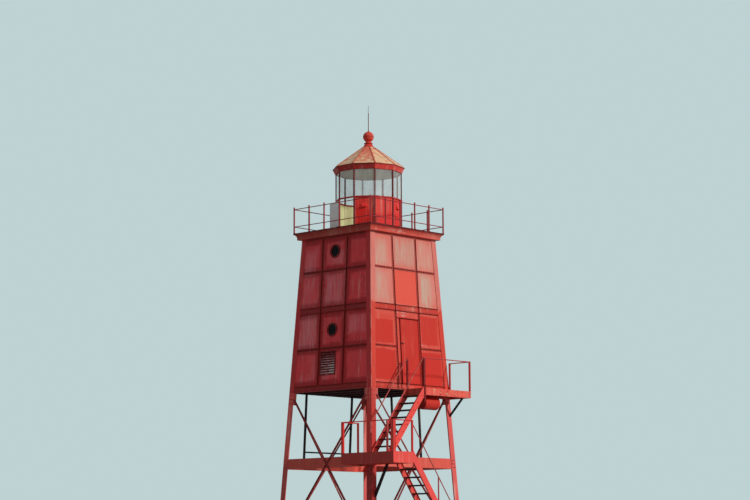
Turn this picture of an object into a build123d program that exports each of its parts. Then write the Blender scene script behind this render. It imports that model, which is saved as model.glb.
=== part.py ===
from build123d import *

import math
import os

# Steel pierhead lighthouse, in millimetres.
# The origin is on the ground at the tower's axis, +Z is up, and the door is in the front wall, towards -Y.
# The four outer faces lean inwards. The outer faces of the legs lie in them, and depths count inwards from them.

# Form of the tower
base_half_width = 2038.0
side_slope = 0.0576
body_bottom = 5000.0
gallery_height = 10000.0
seat_gap = 0.3

# Legs, base plates and girders
leg_width = 195.0
leg_thickness = 16.0
base_plate_side = 560.0
base_plate_thickness = 30.0
base_plate_shift = 120.0
anchor_spacing = 400.0
anchor_hole_radius = 16.0
girder_top = 2980.0
girder_depth = 310.0
girder_flange = 90.0
girder_thickness = 10.0
brace_width = 55.0
brace_thickness = 10.0
brace_rib = 25.0
brace_drop = 200.0
brace_bottom = 420.0
brace_clearance = 90.0
brace_inset = 240.0
gusset_width = 270.0
gusset_height = 300.0
gusset_thickness = 10.0

# Rear hanger posts, measured along their faces
hanger_side = 55.0
hanger_places_back = (-980.0, 1050.0)
hanger_places_right = (-500.0, 650.0)
hanger_rail_height = 3200.0
hanger_rail_side = 45.0

# Floors
floor_top = 5130.0
floor_thickness = 8.0
floor_beam_depth = 122.0
floor_beam_flange = 75.0
floor_beam_web = 8.0
floor_joist_count = 6
middle_floor_top = 7560.0
middle_floor_thickness = 10.0

# Walls and the straps over their seams, with the ribs that stand out of them
wall_thickness = 10.0
strap_thickness = 12.0
rib_thickness = 10.0
rib_reach = 38.0
strap_width = 80.0
strap_place = 525.0
belt_low = 7405.0
belt_high = 7600.0
lower_seam = 6308.0
upper_seam = 8714.0
bottom_band_depth = 190.0
top_band_depth = 70.0

# Doorway and door, along the front face
door_left = -360.0
door_right = 480.0
door_sill = 5190.0
door_head = 7190.0
door_lap = 12.0
door_gap = 8.0
door_sill_gap = 12.0
door_seal_gap = 5.0
door_thickness = 36.0
door_sheet = 8.0
door_rim = 60.0
door_panels = 3
jamb_width = 45.0
hinge_inset = 250.0
hinge_length = 90.0
hinge_outer_radius = 13.0
hinge_pin_radius = 7.0
hinge_pin_clearance = 0.1
hinge_leaf_clearance = 2.0
hinge_strap_length = 120.0
hinge_lug_length = 48.0
hinge_end_gap = 1.0
hinge_plate = 6.0
handle_rise = 1230.0
handle_inset = 55.0
handle_radius = 9.0
handle_reach = 45.0
handle_length = 120.0
handle_rose_radius = 26.0
handle_rose_thickness = 6.0

# Portholes and louvre
porthole_radius = 165.0
porthole_ring_width = 48.0
porthole_ring_thickness = 20.0
porthole_heights = (6870.0, 9300.0)
porthole_glass_thickness = 10.0
porthole_glass_lap = 20.0
louvre_left = -470.0
louvre_right = 190.0
louvre_low = 5480.0
louvre_high = 6220.0
louvre_rim = 35.0
louvre_slats = 9
louvre_slat_thickness = 5.0
louvre_slat_drop = 62.0
louvre_back = 20.0
louvre_slat_back = 10.0
louvre_slat_bite = 1.0
cut_margin = 50.0

# Cove and gallery
cove_drop = 210.0
gallery_overhang = 198.0
deck_depth = 40.0
deck_plate = 10.0
cove_setback = 82.0
cove_plate = 8.0
cove_radius = 140.0
cove_lip_inset = 8.0
cove_lip_width = 20.0
rail_inset = 24.0
rail_post_side = 34.0
rail_post_height = 830.0
rail_bays = 5
rail_heights = (210.0, 760.0)
rail_radius = 13.0

# Lantern
lantern_sides = 10
lantern_radius = 1055.0
lantern_post_side = 44.0
mullion_width = 35.0
mullion_depth = 26.0
parapet_height = 1020.0
parapet_thickness = 8.0
parapet_inset = 20.0
vent_sides = (8, 0)
vent_width = 150.0
vent_height = 120.0
vent_reach = 60.0
vent_drop = 190.0
vent_plate = 5.0
sill_depth = 36.0
sill_width = 60.0
sill_overhang = 10.0
glass_height = 850.0
glass_thickness = 8.0
glass_inset = 22.0
lantern_door_angle = 198.0
lantern_door_thickness = 8.0
lantern_door_lift = 15.0
lantern_door_head_gap = 55.0
lantern_cornice_height = 170.0
lantern_cornice_overhang = 6.0
lantern_cornice_plate = 10.0
lantern_cornice_soffit = 60.0
eave_radius = 1140.0
ceiling_thickness = 6.0
roof_height = 680.0
roof_top_radius = 200.0
roof_plate = 8.0
roof_rib_radius = 13.0
roof_rib_setback = 30.0
ventilator_foot_radius = 186.0
ventilator_cone_radius = 110.0
ventilator_cone_height = 125.0
ventilator_collar_radius = 135.0
ventilator_collar_height = 22.0
ventilator_neck_radius = 90.0
ball_radius = 170.0
ball_rise = 347.0
ventilator_plate = 5.0
rod_foot_radius = 29.0
rod_foot_height = 45.0
rod_radius = 12.0
rod_tip_radius = 6.0
rod_stem_height = 595.0
rod_tip_height = 240.0
rod_point_height = 20.0

# Upper landing and upper flight
landing_rise = 10.0
landing_lap = 20.0
landing_depth = 860.0
landing_fascia = 210.0
landing_plate = 12.0
landing_deck = 8.0
landing_bays = 3
flight_width = 720.0
flight_spacing = 80.0
flight_foot_setback = 200.0
stringer_depth = 200.0
stringer_thickness = 8.0
stringer_flange = 45.0
tread_depth = 165.0
stringer_lift = 50.0
tread_thickness = 8.0
upper_risers = 9
lower_risers = 13
stair_rail_radius = 16.0
stair_post_side = 48.0
broad_post_side = 70.0
handrail_post_side = 30.0
landing_post_height = 920.0
lower_handrail_rise = 800.0

# Lower landing and lower flight
lower_landing_rise = 50.0
lower_landing_width = 850.0
lower_landing_corner = 132.0
lower_landing_ledge = 562.0
lower_landing_fascia = 330.0
lower_flight_run = 2250.0
newel_side = 110.0
knee_side = 50.0
knee_reach = 540.0
lower_knee_side = 65.0
lower_knee_drop = 950.0
lower_knee_reach = 510.0
bracket_side = 30.0
bracket_reach = 260.0

# Drum under the upper landing
drum_place = 660.0
drum_length = 620.0
drum_radius = 200.0
drum_wall = 6.0
drum_dome = 60.0
drum_inset = 420.0

FRONT, RIGHT, BACK, LEFT = 0, 90, 180, -90
wall_depth = leg_thickness
inner_depth = wall_depth + wall_thickness
deck_bottom = gallery_height - deck_depth
cove_bottom = gallery_height - cove_drop
brace_top = body_bottom - brace_drop
landing_top = body_bottom + landing_rise
landing_low = landing_top - landing_fascia
lower_landing_top = girder_top + lower_landing_rise
lower_landing_low = lower_landing_top - lower_landing_fascia
handle_height = door_sill + handle_rise
hinge_heights = (door_sill + hinge_inset, (door_sill + door_head) / 2, door_head - hinge_inset)
lantern_floor = gallery_height
sill_bottom = lantern_floor + parapet_height - sill_depth / 2
sill_top = sill_bottom + sill_depth
glass_top = sill_top + glass_height
cornice_top = glass_top + lantern_cornice_height
roof_top = cornice_top + roof_height
ball_height = roof_top + ball_rise


def half_width(height):
    """Half the tower's width between its outer faces at a height."""
    return base_half_width - side_slope * height


deck_edge = half_width(cove_bottom) + gallery_overhang
cove_soffit_edge = deck_edge - cove_setback
landing_right = half_width(landing_low)
landing_inner = -half_width(landing_low) - seat_gap
landing_outer = landing_inner - landing_depth
landing_left = door_left - landing_lap
notch = -half_width(lower_landing_low) - seat_gap
lower_landing_right = notch + lower_landing_corner
lower_landing_left = lower_landing_right - lower_landing_width
lower_landing_inner = notch + lower_landing_ledge
upper_flight_foot = lower_landing_right - flight_foot_setback
lower_flight_foot = lower_landing_right + lower_flight_run
lower_landing_outer = landing_outer - flight_spacing - flight_width
drum_centre = landing_left + drum_place
drum_offset = landing_outer + drum_inset


def turned(turn, along, out):
    """Horizontal place on a side of the tower, from its place along that side and its distance out."""
    angle = math.radians(turn)
    return (along * math.cos(angle) + out * math.sin(angle), along * math.sin(angle) - out * math.cos(angle))


def face_section(turn, height):
    """Level plane with its origin on an outer face, x along that face and y inwards."""
    x, y = turned(turn, 0, half_width(height))
    along = turned(turn, 1, 0)
    return Plane(origin=(x, y, height), x_dir=(*along, 0), z_dir=(0, 0, 1))


def leaning(outline_low, outline_high, turn, low, high, mode=Mode.ADD):
    """Solid between two outlines drawn on a face, one at each height."""
    sections = []
    for outline, height in ((outline_low, low), (outline_high, high)):
        with BuildSketch(face_section(turn, height)) as section:
            with BuildLine():
                Polyline(*outline, close=True)
            make_face()
        sections.append(section.sketch)
    loft(sections, mode=mode)


def slab(turn, low, high, left, right, depth, thickness, mode=Mode.ADD):
    """Plate in a face. Its ends are numbers, or functions of the height where they follow a corner."""
    outlines = []
    for height in (low, high):
        start = left(height) if callable(left) else left
        end = right(height) if callable(right) else right
        back = depth + thickness
        outlines.append([(start, depth), (end, depth), (end, back), (start, back)])
    leaning(outlines[0], outlines[1], turn, low, high, mode)


def left_corner(inset):
    """End that keeps a fixed distance from the left corner of a face."""
    return lambda height: inset - half_width(height)


def right_corner(inset):
    """End that keeps a fixed distance from the right corner of a face."""
    return lambda height: half_width(height) - inset


def beam(start, end, width, depth=None):
    """Straight bar of rectangular section between two points."""
    direction = Vector(end) - Vector(start)
    side = Vector(0, 0, 1).cross(direction) if direction.cross(Vector(0, 0, 1)).length > 1 else Vector(1, 0, 0)
    with BuildSketch(Plane(origin=start, x_dir=side.normalized(), z_dir=direction.normalized())) as section:
        Rectangle(width, depth or width)
    extrude(section.sketch, amount=direction.length)


def round_bar(start, end, radius):
    """Straight round bar between two points."""
    direction = Vector(end) - Vector(start)
    with BuildSketch(Plane(origin=start, z_dir=direction.normalized())) as section:
        Circle(radius)
    extrude(section.sketch, amount=direction.length)


def block(start, end):
    """Upright box between its lowest and highest corners."""
    size = Vector(end) - Vector(start)
    with BuildSketch(Plane(origin=start)) as section:
        Rectangle(size.X, size.Y, align=Align.MIN)
    extrude(section.sketch, amount=size.Z)


def channel(start, end, inward, depth, flange, web):
    """Level channel, with the back of its web on the line from start to end at mid depth."""
    direction = Vector(end) - Vector(start)
    with BuildSketch(Plane(origin=start, x_dir=inward, z_dir=direction.normalized())) as section:
        with Locations((web / 2, 0)):
            Rectangle(web, depth)
        with Locations((flange / 2, (depth - web) / 2), (flange / 2, (web - depth) / 2)):
            Rectangle(flange, web)
    extrude(section.sketch, amount=direction.length)


def keep(piece, name):
    """Label a finished piece and write it."""
    piece.part.label = name
    export_step(piece.part, f"parts/{name}.step")


os.makedirs("parts", exist_ok=True)

# Base plates
with BuildPart() as base_plates:
    with BuildSketch():
        centre = base_half_width - base_plate_shift
        with GridLocations(2 * centre, 2 * centre, 2, 2):
            Rectangle(base_plate_side, base_plate_side)
            with GridLocations(anchor_spacing, anchor_spacing, 2, 2):
                Circle(anchor_hole_radius, mode=Mode.SUBTRACT)
    extrude(amount=base_plate_thickness)
keep(base_plates, "base_plates")

# Legs: a leaning angle at each corner up to the body, and a pair of plates there for each storey above
storey_line = (belt_low + belt_high) / 2
storey_lengths = ((body_bottom + seat_gap, storey_line), (storey_line + seat_gap, deck_bottom))
for turn, name in ((FRONT, "leg_front_left"), (LEFT, "leg_back_left"), (BACK, "leg_back_right"),
                   (RIGHT, "leg_front_right")):
    with BuildPart() as leg:
        outlines = []
        for height in (base_plate_thickness, body_bottom):
            heel = -half_width(height)
            toe = heel + leg_width
            inside = heel + leg_thickness
            outlines.append([(heel, 0), (toe, 0), (toe, leg_thickness), (inside, leg_thickness),
                             (inside, leg_width), (heel, leg_width)])
        leaning(outlines[0], outlines[1], turn, base_plate_thickness, body_bottom)
        plate_start = leg_thickness + seat_gap
        for low, high in storey_lengths:
            slab(turn, low, high, left_corner(0), left_corner(leg_width), 0, leg_thickness)
            slab(turn, low, high, left_corner(0), left_corner(leg_thickness), plate_start,
                 leg_width - plate_start)
    keep(leg, name)

# Girders: channels on the inner faces of the legs, mitred at the corners
girder_bottom = girder_top - girder_depth
with BuildPart() as girders:
    for turn in (FRONT, RIGHT, BACK, LEFT):
        mitre_gap = seat_gap
        web_back = leg_thickness + girder_thickness
        for low, high, back in (
            (girder_bottom, girder_top, web_back),
            (girder_bottom, girder_bottom + girder_thickness, leg_thickness + girder_flange),
            (girder_top - girder_thickness, girder_top, leg_thickness + girder_flange),
        ):
            outlines = []
            for height in (low, high):
                outer = half_width(height) - leg_thickness - mitre_gap
                inner = half_width(height) - back - mitre_gap
                outlines.append([(-outer, leg_thickness), (outer, leg_thickness), (inner, back), (-inner, back)])
            leaning(outlines[0], outlines[1], turn, low, high)
keep(girders, "girders")

# Cross bracing: on each side one angle runs through, and the other is cut at the crossing
brace_depth = leg_thickness - brace_thickness
bottom_reach = half_width(brace_bottom) - brace_inset
top_reach = half_width(brace_top) - brace_inset
brace_rise = brace_top - brace_bottom
brace_stretch = math.hypot(bottom_reach + top_reach, brace_rise) / brace_rise
crossing = brace_bottom + brace_rise * bottom_reach / (bottom_reach + top_reach)


def brace_bar(turn, low, high, sign):
    """Angle bar along a diagonal. Its sign is 1 where it rises to the right."""
    outlines = []
    for height in (low, high):
        share = (height - brace_bottom) / brace_rise
        middle = sign * (share * (bottom_reach + top_reach) - bottom_reach)
        start = middle - brace_width * brace_stretch / 2
        end = middle + brace_width * brace_stretch / 2
        rib = start + brace_thickness * brace_stretch
        outlines.append([(start, brace_depth - brace_rib), (rib, brace_depth - brace_rib), (rib, brace_depth),
                         (end, brace_depth), (end, leg_thickness), (start, leg_thickness)])
    leaning(outlines[0], outlines[1], turn, low, high)


for turn, name in ((FRONT, "front_braces"), (RIGHT, "right_braces"), (BACK, "back_braces"),
                   (LEFT, "left_braces")):
    with BuildPart() as braces:
        brace_bar(turn, brace_bottom, brace_top, -1)
        brace_bar(turn, brace_bottom, crossing - brace_clearance, 1)
        brace_bar(turn, crossing + brace_clearance, brace_top, 1)
    keep(braces, name)

# Gusset plates behind the legs, at the feet and under the body
with BuildPart() as gusset_plates:
    for turn in (FRONT, RIGHT, BACK, LEFT):
        for sign in (-1, 1):
            for low, high in ((brace_bottom - gusset_height / 2, brace_bottom + gusset_height / 2),
                              (brace_top - gusset_height / 2, body_bottom - seat_gap)):
                outlines = []
                for height in (low, high):
                    near = half_width(height) - leg_thickness - gusset_thickness - seat_gap
                    far = near - gusset_width
                    back = leg_thickness + gusset_thickness
                    ends = sorted((sign * near, sign * far))
                    outlines.append([(ends[0], leg_thickness), (ends[1], leg_thickness), (ends[1], back),
                                     (ends[0], back)])
                leaning(outlines[0], outlines[1], turn, low, high)
keep(gusset_plates, "gusset_plates")

# Rear hanger posts from the girders up to the body
with BuildPart() as hanger_posts:
    post_depth = leg_thickness + girder_thickness + seat_gap
    for turn, places in ((BACK, hanger_places_back), (RIGHT, hanger_places_right)):
        for place in places:
            slab(turn, girder_top, body_bottom, place - hanger_side / 2, place + hanger_side / 2,
                 post_depth, hanger_side)
    rail_seat = hanger_side / 2 + seat_gap
    slab(BACK, hanger_rail_height, hanger_rail_height + hanger_rail_side, hanger_places_back[0] + rail_seat,
         hanger_places_back[1] - rail_seat, post_depth, hanger_rail_side)
keep(hanger_posts, "hanger_posts")

# Floor frame: channels along the front and back walls, with channel joists between them
beam_top = floor_top - floor_thickness
beam_middle = beam_top - floor_beam_depth / 2
floor_reach = half_width(beam_top) - inner_depth - seat_gap
joist_pitch = 2 * floor_reach / (floor_joist_count - 1)
joist_reach = floor_reach - floor_beam_flange - seat_gap
with BuildPart() as floor_frame:
    for side in (-1, 1):
        channel((-floor_reach, side * floor_reach, beam_middle), (floor_reach, side * floor_reach, beam_middle),
                (0, -side, 0), floor_beam_depth, floor_beam_flange, floor_beam_web)
    for number in range(floor_joist_count):
        x = number * joist_pitch - floor_reach
        inward = 1 if x < 0 else -1
        channel((x, -joist_reach, beam_middle), (x, joist_reach, beam_middle), (inward, 0, 0), floor_beam_depth,
                floor_beam_flange, floor_beam_web)
keep(floor_frame, "floor_frame")

with BuildPart() as lower_floor:
    with BuildSketch(Plane.XY.offset(beam_top)):
        side = 2 * (half_width(floor_top) - inner_depth - seat_gap)
        Rectangle(side, side)
    extrude(amount=floor_thickness)
keep(lower_floor, "lower_floor")

with BuildPart() as middle_floor:
    with BuildSketch(Plane.XY.offset(middle_floor_top - middle_floor_thickness)):
        side = 2 * (half_width(middle_floor_top) - inner_depth - seat_gap)
        Rectangle(side, side)
    extrude(amount=middle_floor_thickness)
keep(middle_floor, "middle_floor")

# Front wall, in three pieces round the doorway and a coaming under it
front_end = leg_thickness + seat_gap
with BuildPart() as front_wall_left:
    slab(FRONT, body_bottom, deck_bottom, left_corner(front_end), door_left, wall_depth, wall_thickness)
keep(front_wall_left, "front_wall_left")

with BuildPart() as front_wall_right:
    slab(FRONT, body_bottom, deck_bottom, door_right, right_corner(front_end), wall_depth, wall_thickness)
keep(front_wall_right, "front_wall_right")

with BuildPart() as front_wall_middle:
    slab(FRONT, door_head, deck_bottom, door_left + seat_gap, door_right - seat_gap, wall_depth, wall_thickness)
    slab(FRONT, body_bottom, door_sill, door_left + seat_gap, door_right - seat_gap, wall_depth, wall_thickness)
keep(front_wall_middle, "front_wall_over_door")


def face_plane(turn, height, depth):
    """Plane in a leaning face at a depth, with x along the face and z out of it."""
    x, y = turned(turn, 0, half_width(height) - depth)
    along = turned(turn, 1, 0)
    out = turned(turn, 0, 1)
    return Plane(origin=(x, y, height), x_dir=(*along, 0), z_dir=(*out, side_slope))


def wall_disc(turn, height, radius, depth, thickness, mode=Mode.ADD):
    """Disc in a leaning face, from a depth inwards."""
    with BuildSketch(face_plane(turn, height, depth)) as section:
        Circle(radius)
    extrude(section.sketch, amount=-thickness, mode=mode)


cut_thickness = inner_depth + 2 * cut_margin
side_end = inner_depth + seat_gap
for turn, name, end in ((LEFT, "left_wall", side_end), (BACK, "back_wall", front_end),
                        (RIGHT, "right_wall", side_end)):
    with BuildPart() as wall:
        slab(turn, body_bottom, deck_bottom, left_corner(end), right_corner(end), wall_depth, wall_thickness)
        if turn in (LEFT, RIGHT):
            for height in porthole_heights:
                wall_disc(turn, height, porthole_radius, -cut_margin, cut_thickness, Mode.SUBTRACT)
        if turn == LEFT:
            slab(turn, louvre_low, louvre_high, louvre_left, louvre_right, -cut_margin,
                 cut_thickness, Mode.SUBTRACT)
    keep(wall, name)

# Straps over the seams between the wall plates, riveted between the legs, with a thin rib along each seam
strap_depth = wall_depth - strap_thickness
strap_end = leg_width + seat_gap
rib_depth = wall_depth - rib_reach
rib_bottom = body_bottom + bottom_band_depth
rib_levels = (rib_bottom - rib_thickness / 2, belt_low + rib_thickness / 2, belt_high - rib_thickness / 2,
              upper_seam)
with BuildPart() as wall_straps:
    for turn in (FRONT, RIGHT, BACK, LEFT):
        ends = (left_corner(strap_end), right_corner(strap_end))
        slab(turn, body_bottom, body_bottom + bottom_band_depth, *ends, strap_depth, strap_thickness)
        slab(turn, belt_low, belt_high, *ends, strap_depth, strap_thickness)
        slab(turn, cove_bottom - top_band_depth, cove_bottom, *ends, strap_depth, strap_thickness)
        slab(turn, upper_seam - strap_width / 2, upper_seam + strap_width / 2, *ends, strap_depth,
             strap_thickness)
        lower_ends = ((ends[0], -strap_place), (strap_place, ends[1])) if turn == FRONT else (ends,)
        for start, end in lower_ends:
            slab(turn, lower_seam - strap_width / 2, lower_seam + strap_width / 2, start, end, strap_depth,
                 strap_thickness)
            slab(turn, lower_seam - rib_thickness / 2, lower_seam + rib_thickness / 2, start, end, rib_depth,
                 rib_reach)
        if turn == FRONT:
            slab(turn, door_head, door_head + rib_thickness, -strap_place, strap_place, rib_depth, rib_reach)
            slab(turn, rib_bottom, door_head, door_left - rib_thickness, door_left, rib_depth, rib_reach)
        for level in rib_levels:
            slab(turn, level - rib_thickness / 2, level + rib_thickness / 2, *ends, rib_depth, rib_reach)
        for place in (-strap_place, strap_place):
            slab(turn, body_bottom, cove_bottom, place - strap_width / 2, place + strap_width / 2,
                 strap_depth, strap_thickness)
            slab(turn, rib_bottom, cove_bottom - top_band_depth, place - rib_thickness / 2,
                 place + rib_thickness / 2, rib_depth, rib_reach)
keep(wall_straps, "wall_straps")

# Door frame: two jambs, a head and a threshold behind the wall plates
frame_start = door_left - door_lap - door_gap
frame_end = door_right + door_lap + door_gap
frame_head = door_head + door_lap + door_gap
hinge_turn_axis = Vector(0, side_slope, 1).normalized()
hinge_along = door_right + door_lap + door_gap / 2
jamb_depth = door_seal_gap + door_thickness
hinge_depth = inner_depth + jamb_depth + hinge_leaf_clearance + hinge_outer_radius
hinge_plate_place = hinge_plate / 2 - hinge_outer_radius - hinge_leaf_clearance


def hinge_point(height):
    """Centre of the hinge pin at a height."""
    return Vector(hinge_along, hinge_depth - half_width(height), height)


with BuildPart() as door_frame:
    frame_depth = inner_depth
    slab(FRONT, door_sill - jamb_width, frame_head, frame_start - jamb_width, frame_start, frame_depth, jamb_depth)
    slab(FRONT, door_sill - jamb_width, frame_head, frame_end, frame_end + jamb_width, frame_depth, jamb_depth)
    slab(FRONT, frame_head + seat_gap, frame_head + jamb_width, frame_start - jamb_width,
         frame_end + jamb_width, frame_depth, jamb_depth)
    slab(FRONT, door_sill - jamb_width, door_sill, frame_start + seat_gap, frame_end - seat_gap,
         frame_depth, jamb_depth)
    for height in hinge_heights:
        pin_top = hinge_point(height + hinge_length)
        with BuildSketch(Plane(origin=hinge_point(height), x_dir=(1, 0, 0), z_dir=hinge_turn_axis)) as lug:
            Circle(hinge_outer_radius)
            with Locations((hinge_lug_length / 2, hinge_plate_place)):
                Rectangle(hinge_lug_length, hinge_plate)
        extrude(lug.sketch, amount=hinge_length / 2)
        round_bar(hinge_point(height + hinge_length / 2), pin_top, hinge_pin_radius)
keep(door_frame, "door_frame")

# Door leaf, with the eyes of its hinges
with BuildPart() as door_leaf:
    leaf_depth = inner_depth + door_seal_gap
    slab(FRONT, door_sill + door_sill_gap, door_head + door_lap, door_left - door_lap, door_right + door_lap,
         leaf_depth, door_thickness)
    panel_low = door_sill + door_sill_gap + door_rim
    panel_high = door_head + door_lap - door_rim
    panel_pitch = (panel_high - panel_low + door_rim) / door_panels
    for number in range(door_panels):
        low = panel_low + number * panel_pitch
        slab(FRONT, low, low + panel_pitch - door_rim, door_left - door_lap + door_rim,
             door_right + door_lap - door_rim, leaf_depth + door_sheet, door_thickness, Mode.SUBTRACT)
    for height in hinge_heights:
        eye_base = hinge_point(height + hinge_length / 2 + hinge_end_gap)
        eye_height = hinge_length / 2 - hinge_end_gap
        with BuildSketch(Plane(origin=eye_base, x_dir=(1, 0, 0), z_dir=hinge_turn_axis)) as eye:
            Circle(hinge_outer_radius)
            with Locations((-hinge_strap_length / 2, hinge_plate_place)):
                Rectangle(hinge_strap_length, hinge_plate)
            Circle(hinge_pin_radius + hinge_pin_clearance, mode=Mode.SUBTRACT)
        extrude(eye.sketch, amount=eye_height)
keep(door_leaf, "door_leaf")

# Door handle: a rose and a lever on the outer face
with BuildPart() as door_handle:
    handle_along = door_left + handle_inset
    with BuildSketch(face_plane(FRONT, handle_height, leaf_depth)) as rose:
        with Locations((handle_along, 0)):
            Circle(handle_rose_radius)
    extrude(rose.sketch, amount=handle_rose_thickness)
    with BuildSketch(face_plane(FRONT, handle_height, leaf_depth)) as stem:
        with Locations((handle_along, 0)):
            Circle(handle_radius)
    extrude(stem.sketch, amount=handle_reach)
    with BuildSketch(face_plane(FRONT, handle_height, leaf_depth - handle_reach)) as lever:
        with Locations((handle_along + handle_length / 2 - handle_radius, 0)):
            Rectangle(handle_length, 2 * handle_radius)
    extrude(lever.sketch, amount=-handle_radius)
keep(door_handle, "door_handle")

# Portholes
with BuildPart() as porthole_rings:
    for turn in (LEFT, RIGHT):
        for height in porthole_heights:
            ring_depth = wall_depth - porthole_ring_thickness
            wall_disc(turn, height, porthole_radius + porthole_ring_width, ring_depth,
                      porthole_ring_thickness - seat_gap)
            wall_disc(turn, height, porthole_radius, -cut_margin, cut_thickness, Mode.SUBTRACT)
keep(porthole_rings, "porthole_rings")

with BuildPart() as porthole_glass:
    for turn in (LEFT, RIGHT):
        for height in porthole_heights:
            wall_disc(turn, height, porthole_radius + porthole_glass_lap, inner_depth, porthole_glass_thickness)
keep(porthole_glass, "porthole_glass")

# Louvre in the left wall
with BuildPart() as louvre:
    slab(LEFT, louvre_low + seat_gap, louvre_high - seat_gap, louvre_left + seat_gap, louvre_right - seat_gap,
         strap_depth, strap_thickness + wall_thickness + louvre_back)
    opening_low = louvre_low + louvre_rim
    opening_high = louvre_high - louvre_rim
    slab(LEFT, opening_low, opening_high, louvre_left + louvre_rim, louvre_right - louvre_rim, -cut_margin,
         cut_thickness, Mode.SUBTRACT)
    pitch = (opening_high - opening_low) / louvre_slats
    for number in range(louvre_slats):
        low = opening_low + number * pitch
        high = low + louvre_slat_drop
        slat_front = strap_depth
        slat_back = inner_depth + louvre_slat_back
        outlines = []
        for front in (slat_front, slat_back):
            back = front + louvre_slat_thickness
            start = louvre_left + louvre_rim - louvre_slat_bite
            end = louvre_right - louvre_rim + louvre_slat_bite
            outlines.append([(start, front), (end, front), (end, back), (start, back)])
        leaning(outlines[0], outlines[1], LEFT, low, high)
keep(louvre, "louvre")

# Cove under the gallery, a plate bent to a hollow curve round the four sides
with BuildPart() as cove:
    with BuildSketch(Plane.XZ) as cove_profile:
        with BuildLine():
            inner = half_width(cove_bottom) + seat_gap
            lip = deck_edge - cove_lip_inset
            top_start = (lip - cove_lip_width, deck_bottom)
            bend_start = (cove_soffit_edge - cove_plate, cove_bottom + cove_plate)
            Polyline((inner, cove_bottom), (cove_soffit_edge, cove_bottom))
            RadiusArc((cove_soffit_edge, cove_bottom), (lip, deck_bottom), cove_radius)
            Line((lip, deck_bottom), top_start)
            RadiusArc(top_start, bend_start, -(cove_radius + cove_plate))
            Polyline(bend_start, (inner, cove_bottom + cove_plate), (inner, cove_bottom))
        make_face()
    with BuildLine() as cove_path:
        Polyline((inner, -inner, cove_bottom), (inner, inner, cove_bottom), (-inner, inner, cove_bottom),
                 (-inner, -inner, cove_bottom), close=True)
    sweep(cove_profile.sketch, path=cove_path.line, transition=Transition.RIGHT)
keep(cove, "cove")

# Gallery deck with a turned-down edge
with BuildPart() as gallery_deck:
    with BuildSketch(Plane.XY.offset(deck_bottom)):
        Rectangle(2 * deck_edge, 2 * deck_edge)
    extrude(amount=deck_depth)
    with BuildSketch(Plane.XY.offset(deck_bottom)):
        Rectangle(2 * (deck_edge - deck_plate), 2 * (deck_edge - deck_plate))
    extrude(amount=deck_depth - deck_plate, mode=Mode.SUBTRACT)
keep(gallery_deck, "gallery_deck")

# Gallery railings: the front and back ones carry the corner posts
rail_line = deck_edge - rail_inset
rail_pitch = 2 * rail_line / rail_bays
for turn, name in ((FRONT, "front_railing"), (RIGHT, "right_railing"), (BACK, "back_railing"),
                   (LEFT, "left_railing")):
    corner_posts = turn in (FRONT, BACK)
    with BuildPart() as railing:
        x, y = turned(turn, 0, rail_line)
        along = turned(turn, 1, 0)
        with BuildSketch(Plane(origin=(x, y, gallery_height), x_dir=(*along, 0), z_dir=(0, 0, 1))) as posts:
            with GridLocations(rail_pitch, 0, rail_bays + 1 if corner_posts else rail_bays - 1, 1):
                Rectangle(rail_post_side, rail_post_side)
        extrude(posts.sketch, amount=rail_post_height)
        end = rail_line if corner_posts else rail_line - rail_post_side / 2 - seat_gap
        for height in rail_heights:
            start_x, start_y = turned(turn, -end, rail_line)
            end_x, end_y = turned(turn, end, rail_line)
            level = gallery_height + height
            round_bar((start_x, start_y, level), (end_x, end_y, level), rail_radius)
    keep(railing, name)


def lantern_corner(number, radius):
    """Horizontal place of a corner of the ten-sided lantern, with corner 0 at the front."""
    angle = math.radians(-90 + number * 360 / lantern_sides)
    return (radius * math.cos(angle), radius * math.sin(angle))


def decagon(radius, height):
    """Ten-sided sketch with a corner at the front."""
    with BuildSketch(Plane.XY.offset(height)) as sketch:
        RegularPolygon(radius, lantern_sides, rotation=-90)
    return sketch.sketch


flat_factor = math.cos(math.pi / lantern_sides)
side_length = 2 * lantern_radius * math.sin(math.pi / lantern_sides)


def side_plane(number, height):
    """Level plane at the middle of a lantern side, x along the side and y inwards."""
    angle = math.radians(-90 + (number + 0.5) * 360 / lantern_sides)
    reach = lantern_radius * flat_factor
    return Plane(origin=(reach * math.cos(angle), reach * math.sin(angle), height),
                 x_dir=(-math.sin(angle), math.cos(angle), 0), z_dir=(0, 0, 1))


# Lantern posts at the ten corners
with BuildPart() as lantern_posts:
    for number in range(lantern_sides):
        angle = -90 + number * 360 / lantern_sides
        post_radius = lantern_radius - lantern_post_side / 2
        with BuildSketch(Plane.XY.offset(lantern_floor)) as post:
            with Locations(Location((*lantern_corner(number, post_radius), 0), (0, 0, angle))):
                Rectangle(lantern_post_side, lantern_post_side)
        extrude(post.sketch, amount=parapet_height - sill_depth / 2)
        with BuildSketch(Plane.XY.offset(sill_top)) as mullion:
            with Locations(Location((*lantern_corner(number, post_radius), 0), (0, 0, angle))):
                Rectangle(mullion_width, mullion_depth)
        extrude(mullion.sketch, amount=glass_height)
keep(lantern_posts, "lantern_posts")

# Parapet: nine plates, with the low doorway left open on the left side
half_turn = math.pi / lantern_sides
corner_reach = lantern_post_side * (math.cos(half_turn) / 2 + math.sin(half_turn))
panel_width = side_length - 2 * corner_reach - 2 * seat_gap
doorway_side = 7
with BuildPart() as parapet:
    for number in range(lantern_sides):
        if number == doorway_side:
            continue
        with BuildSketch(side_plane(number, lantern_floor)) as panel:
            with Locations((0, parapet_inset)):
                Rectangle(panel_width, parapet_thickness)
        extrude(panel.sketch, amount=parapet_height - sill_depth / 2)
keep(parapet, "parapet_panels")

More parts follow.
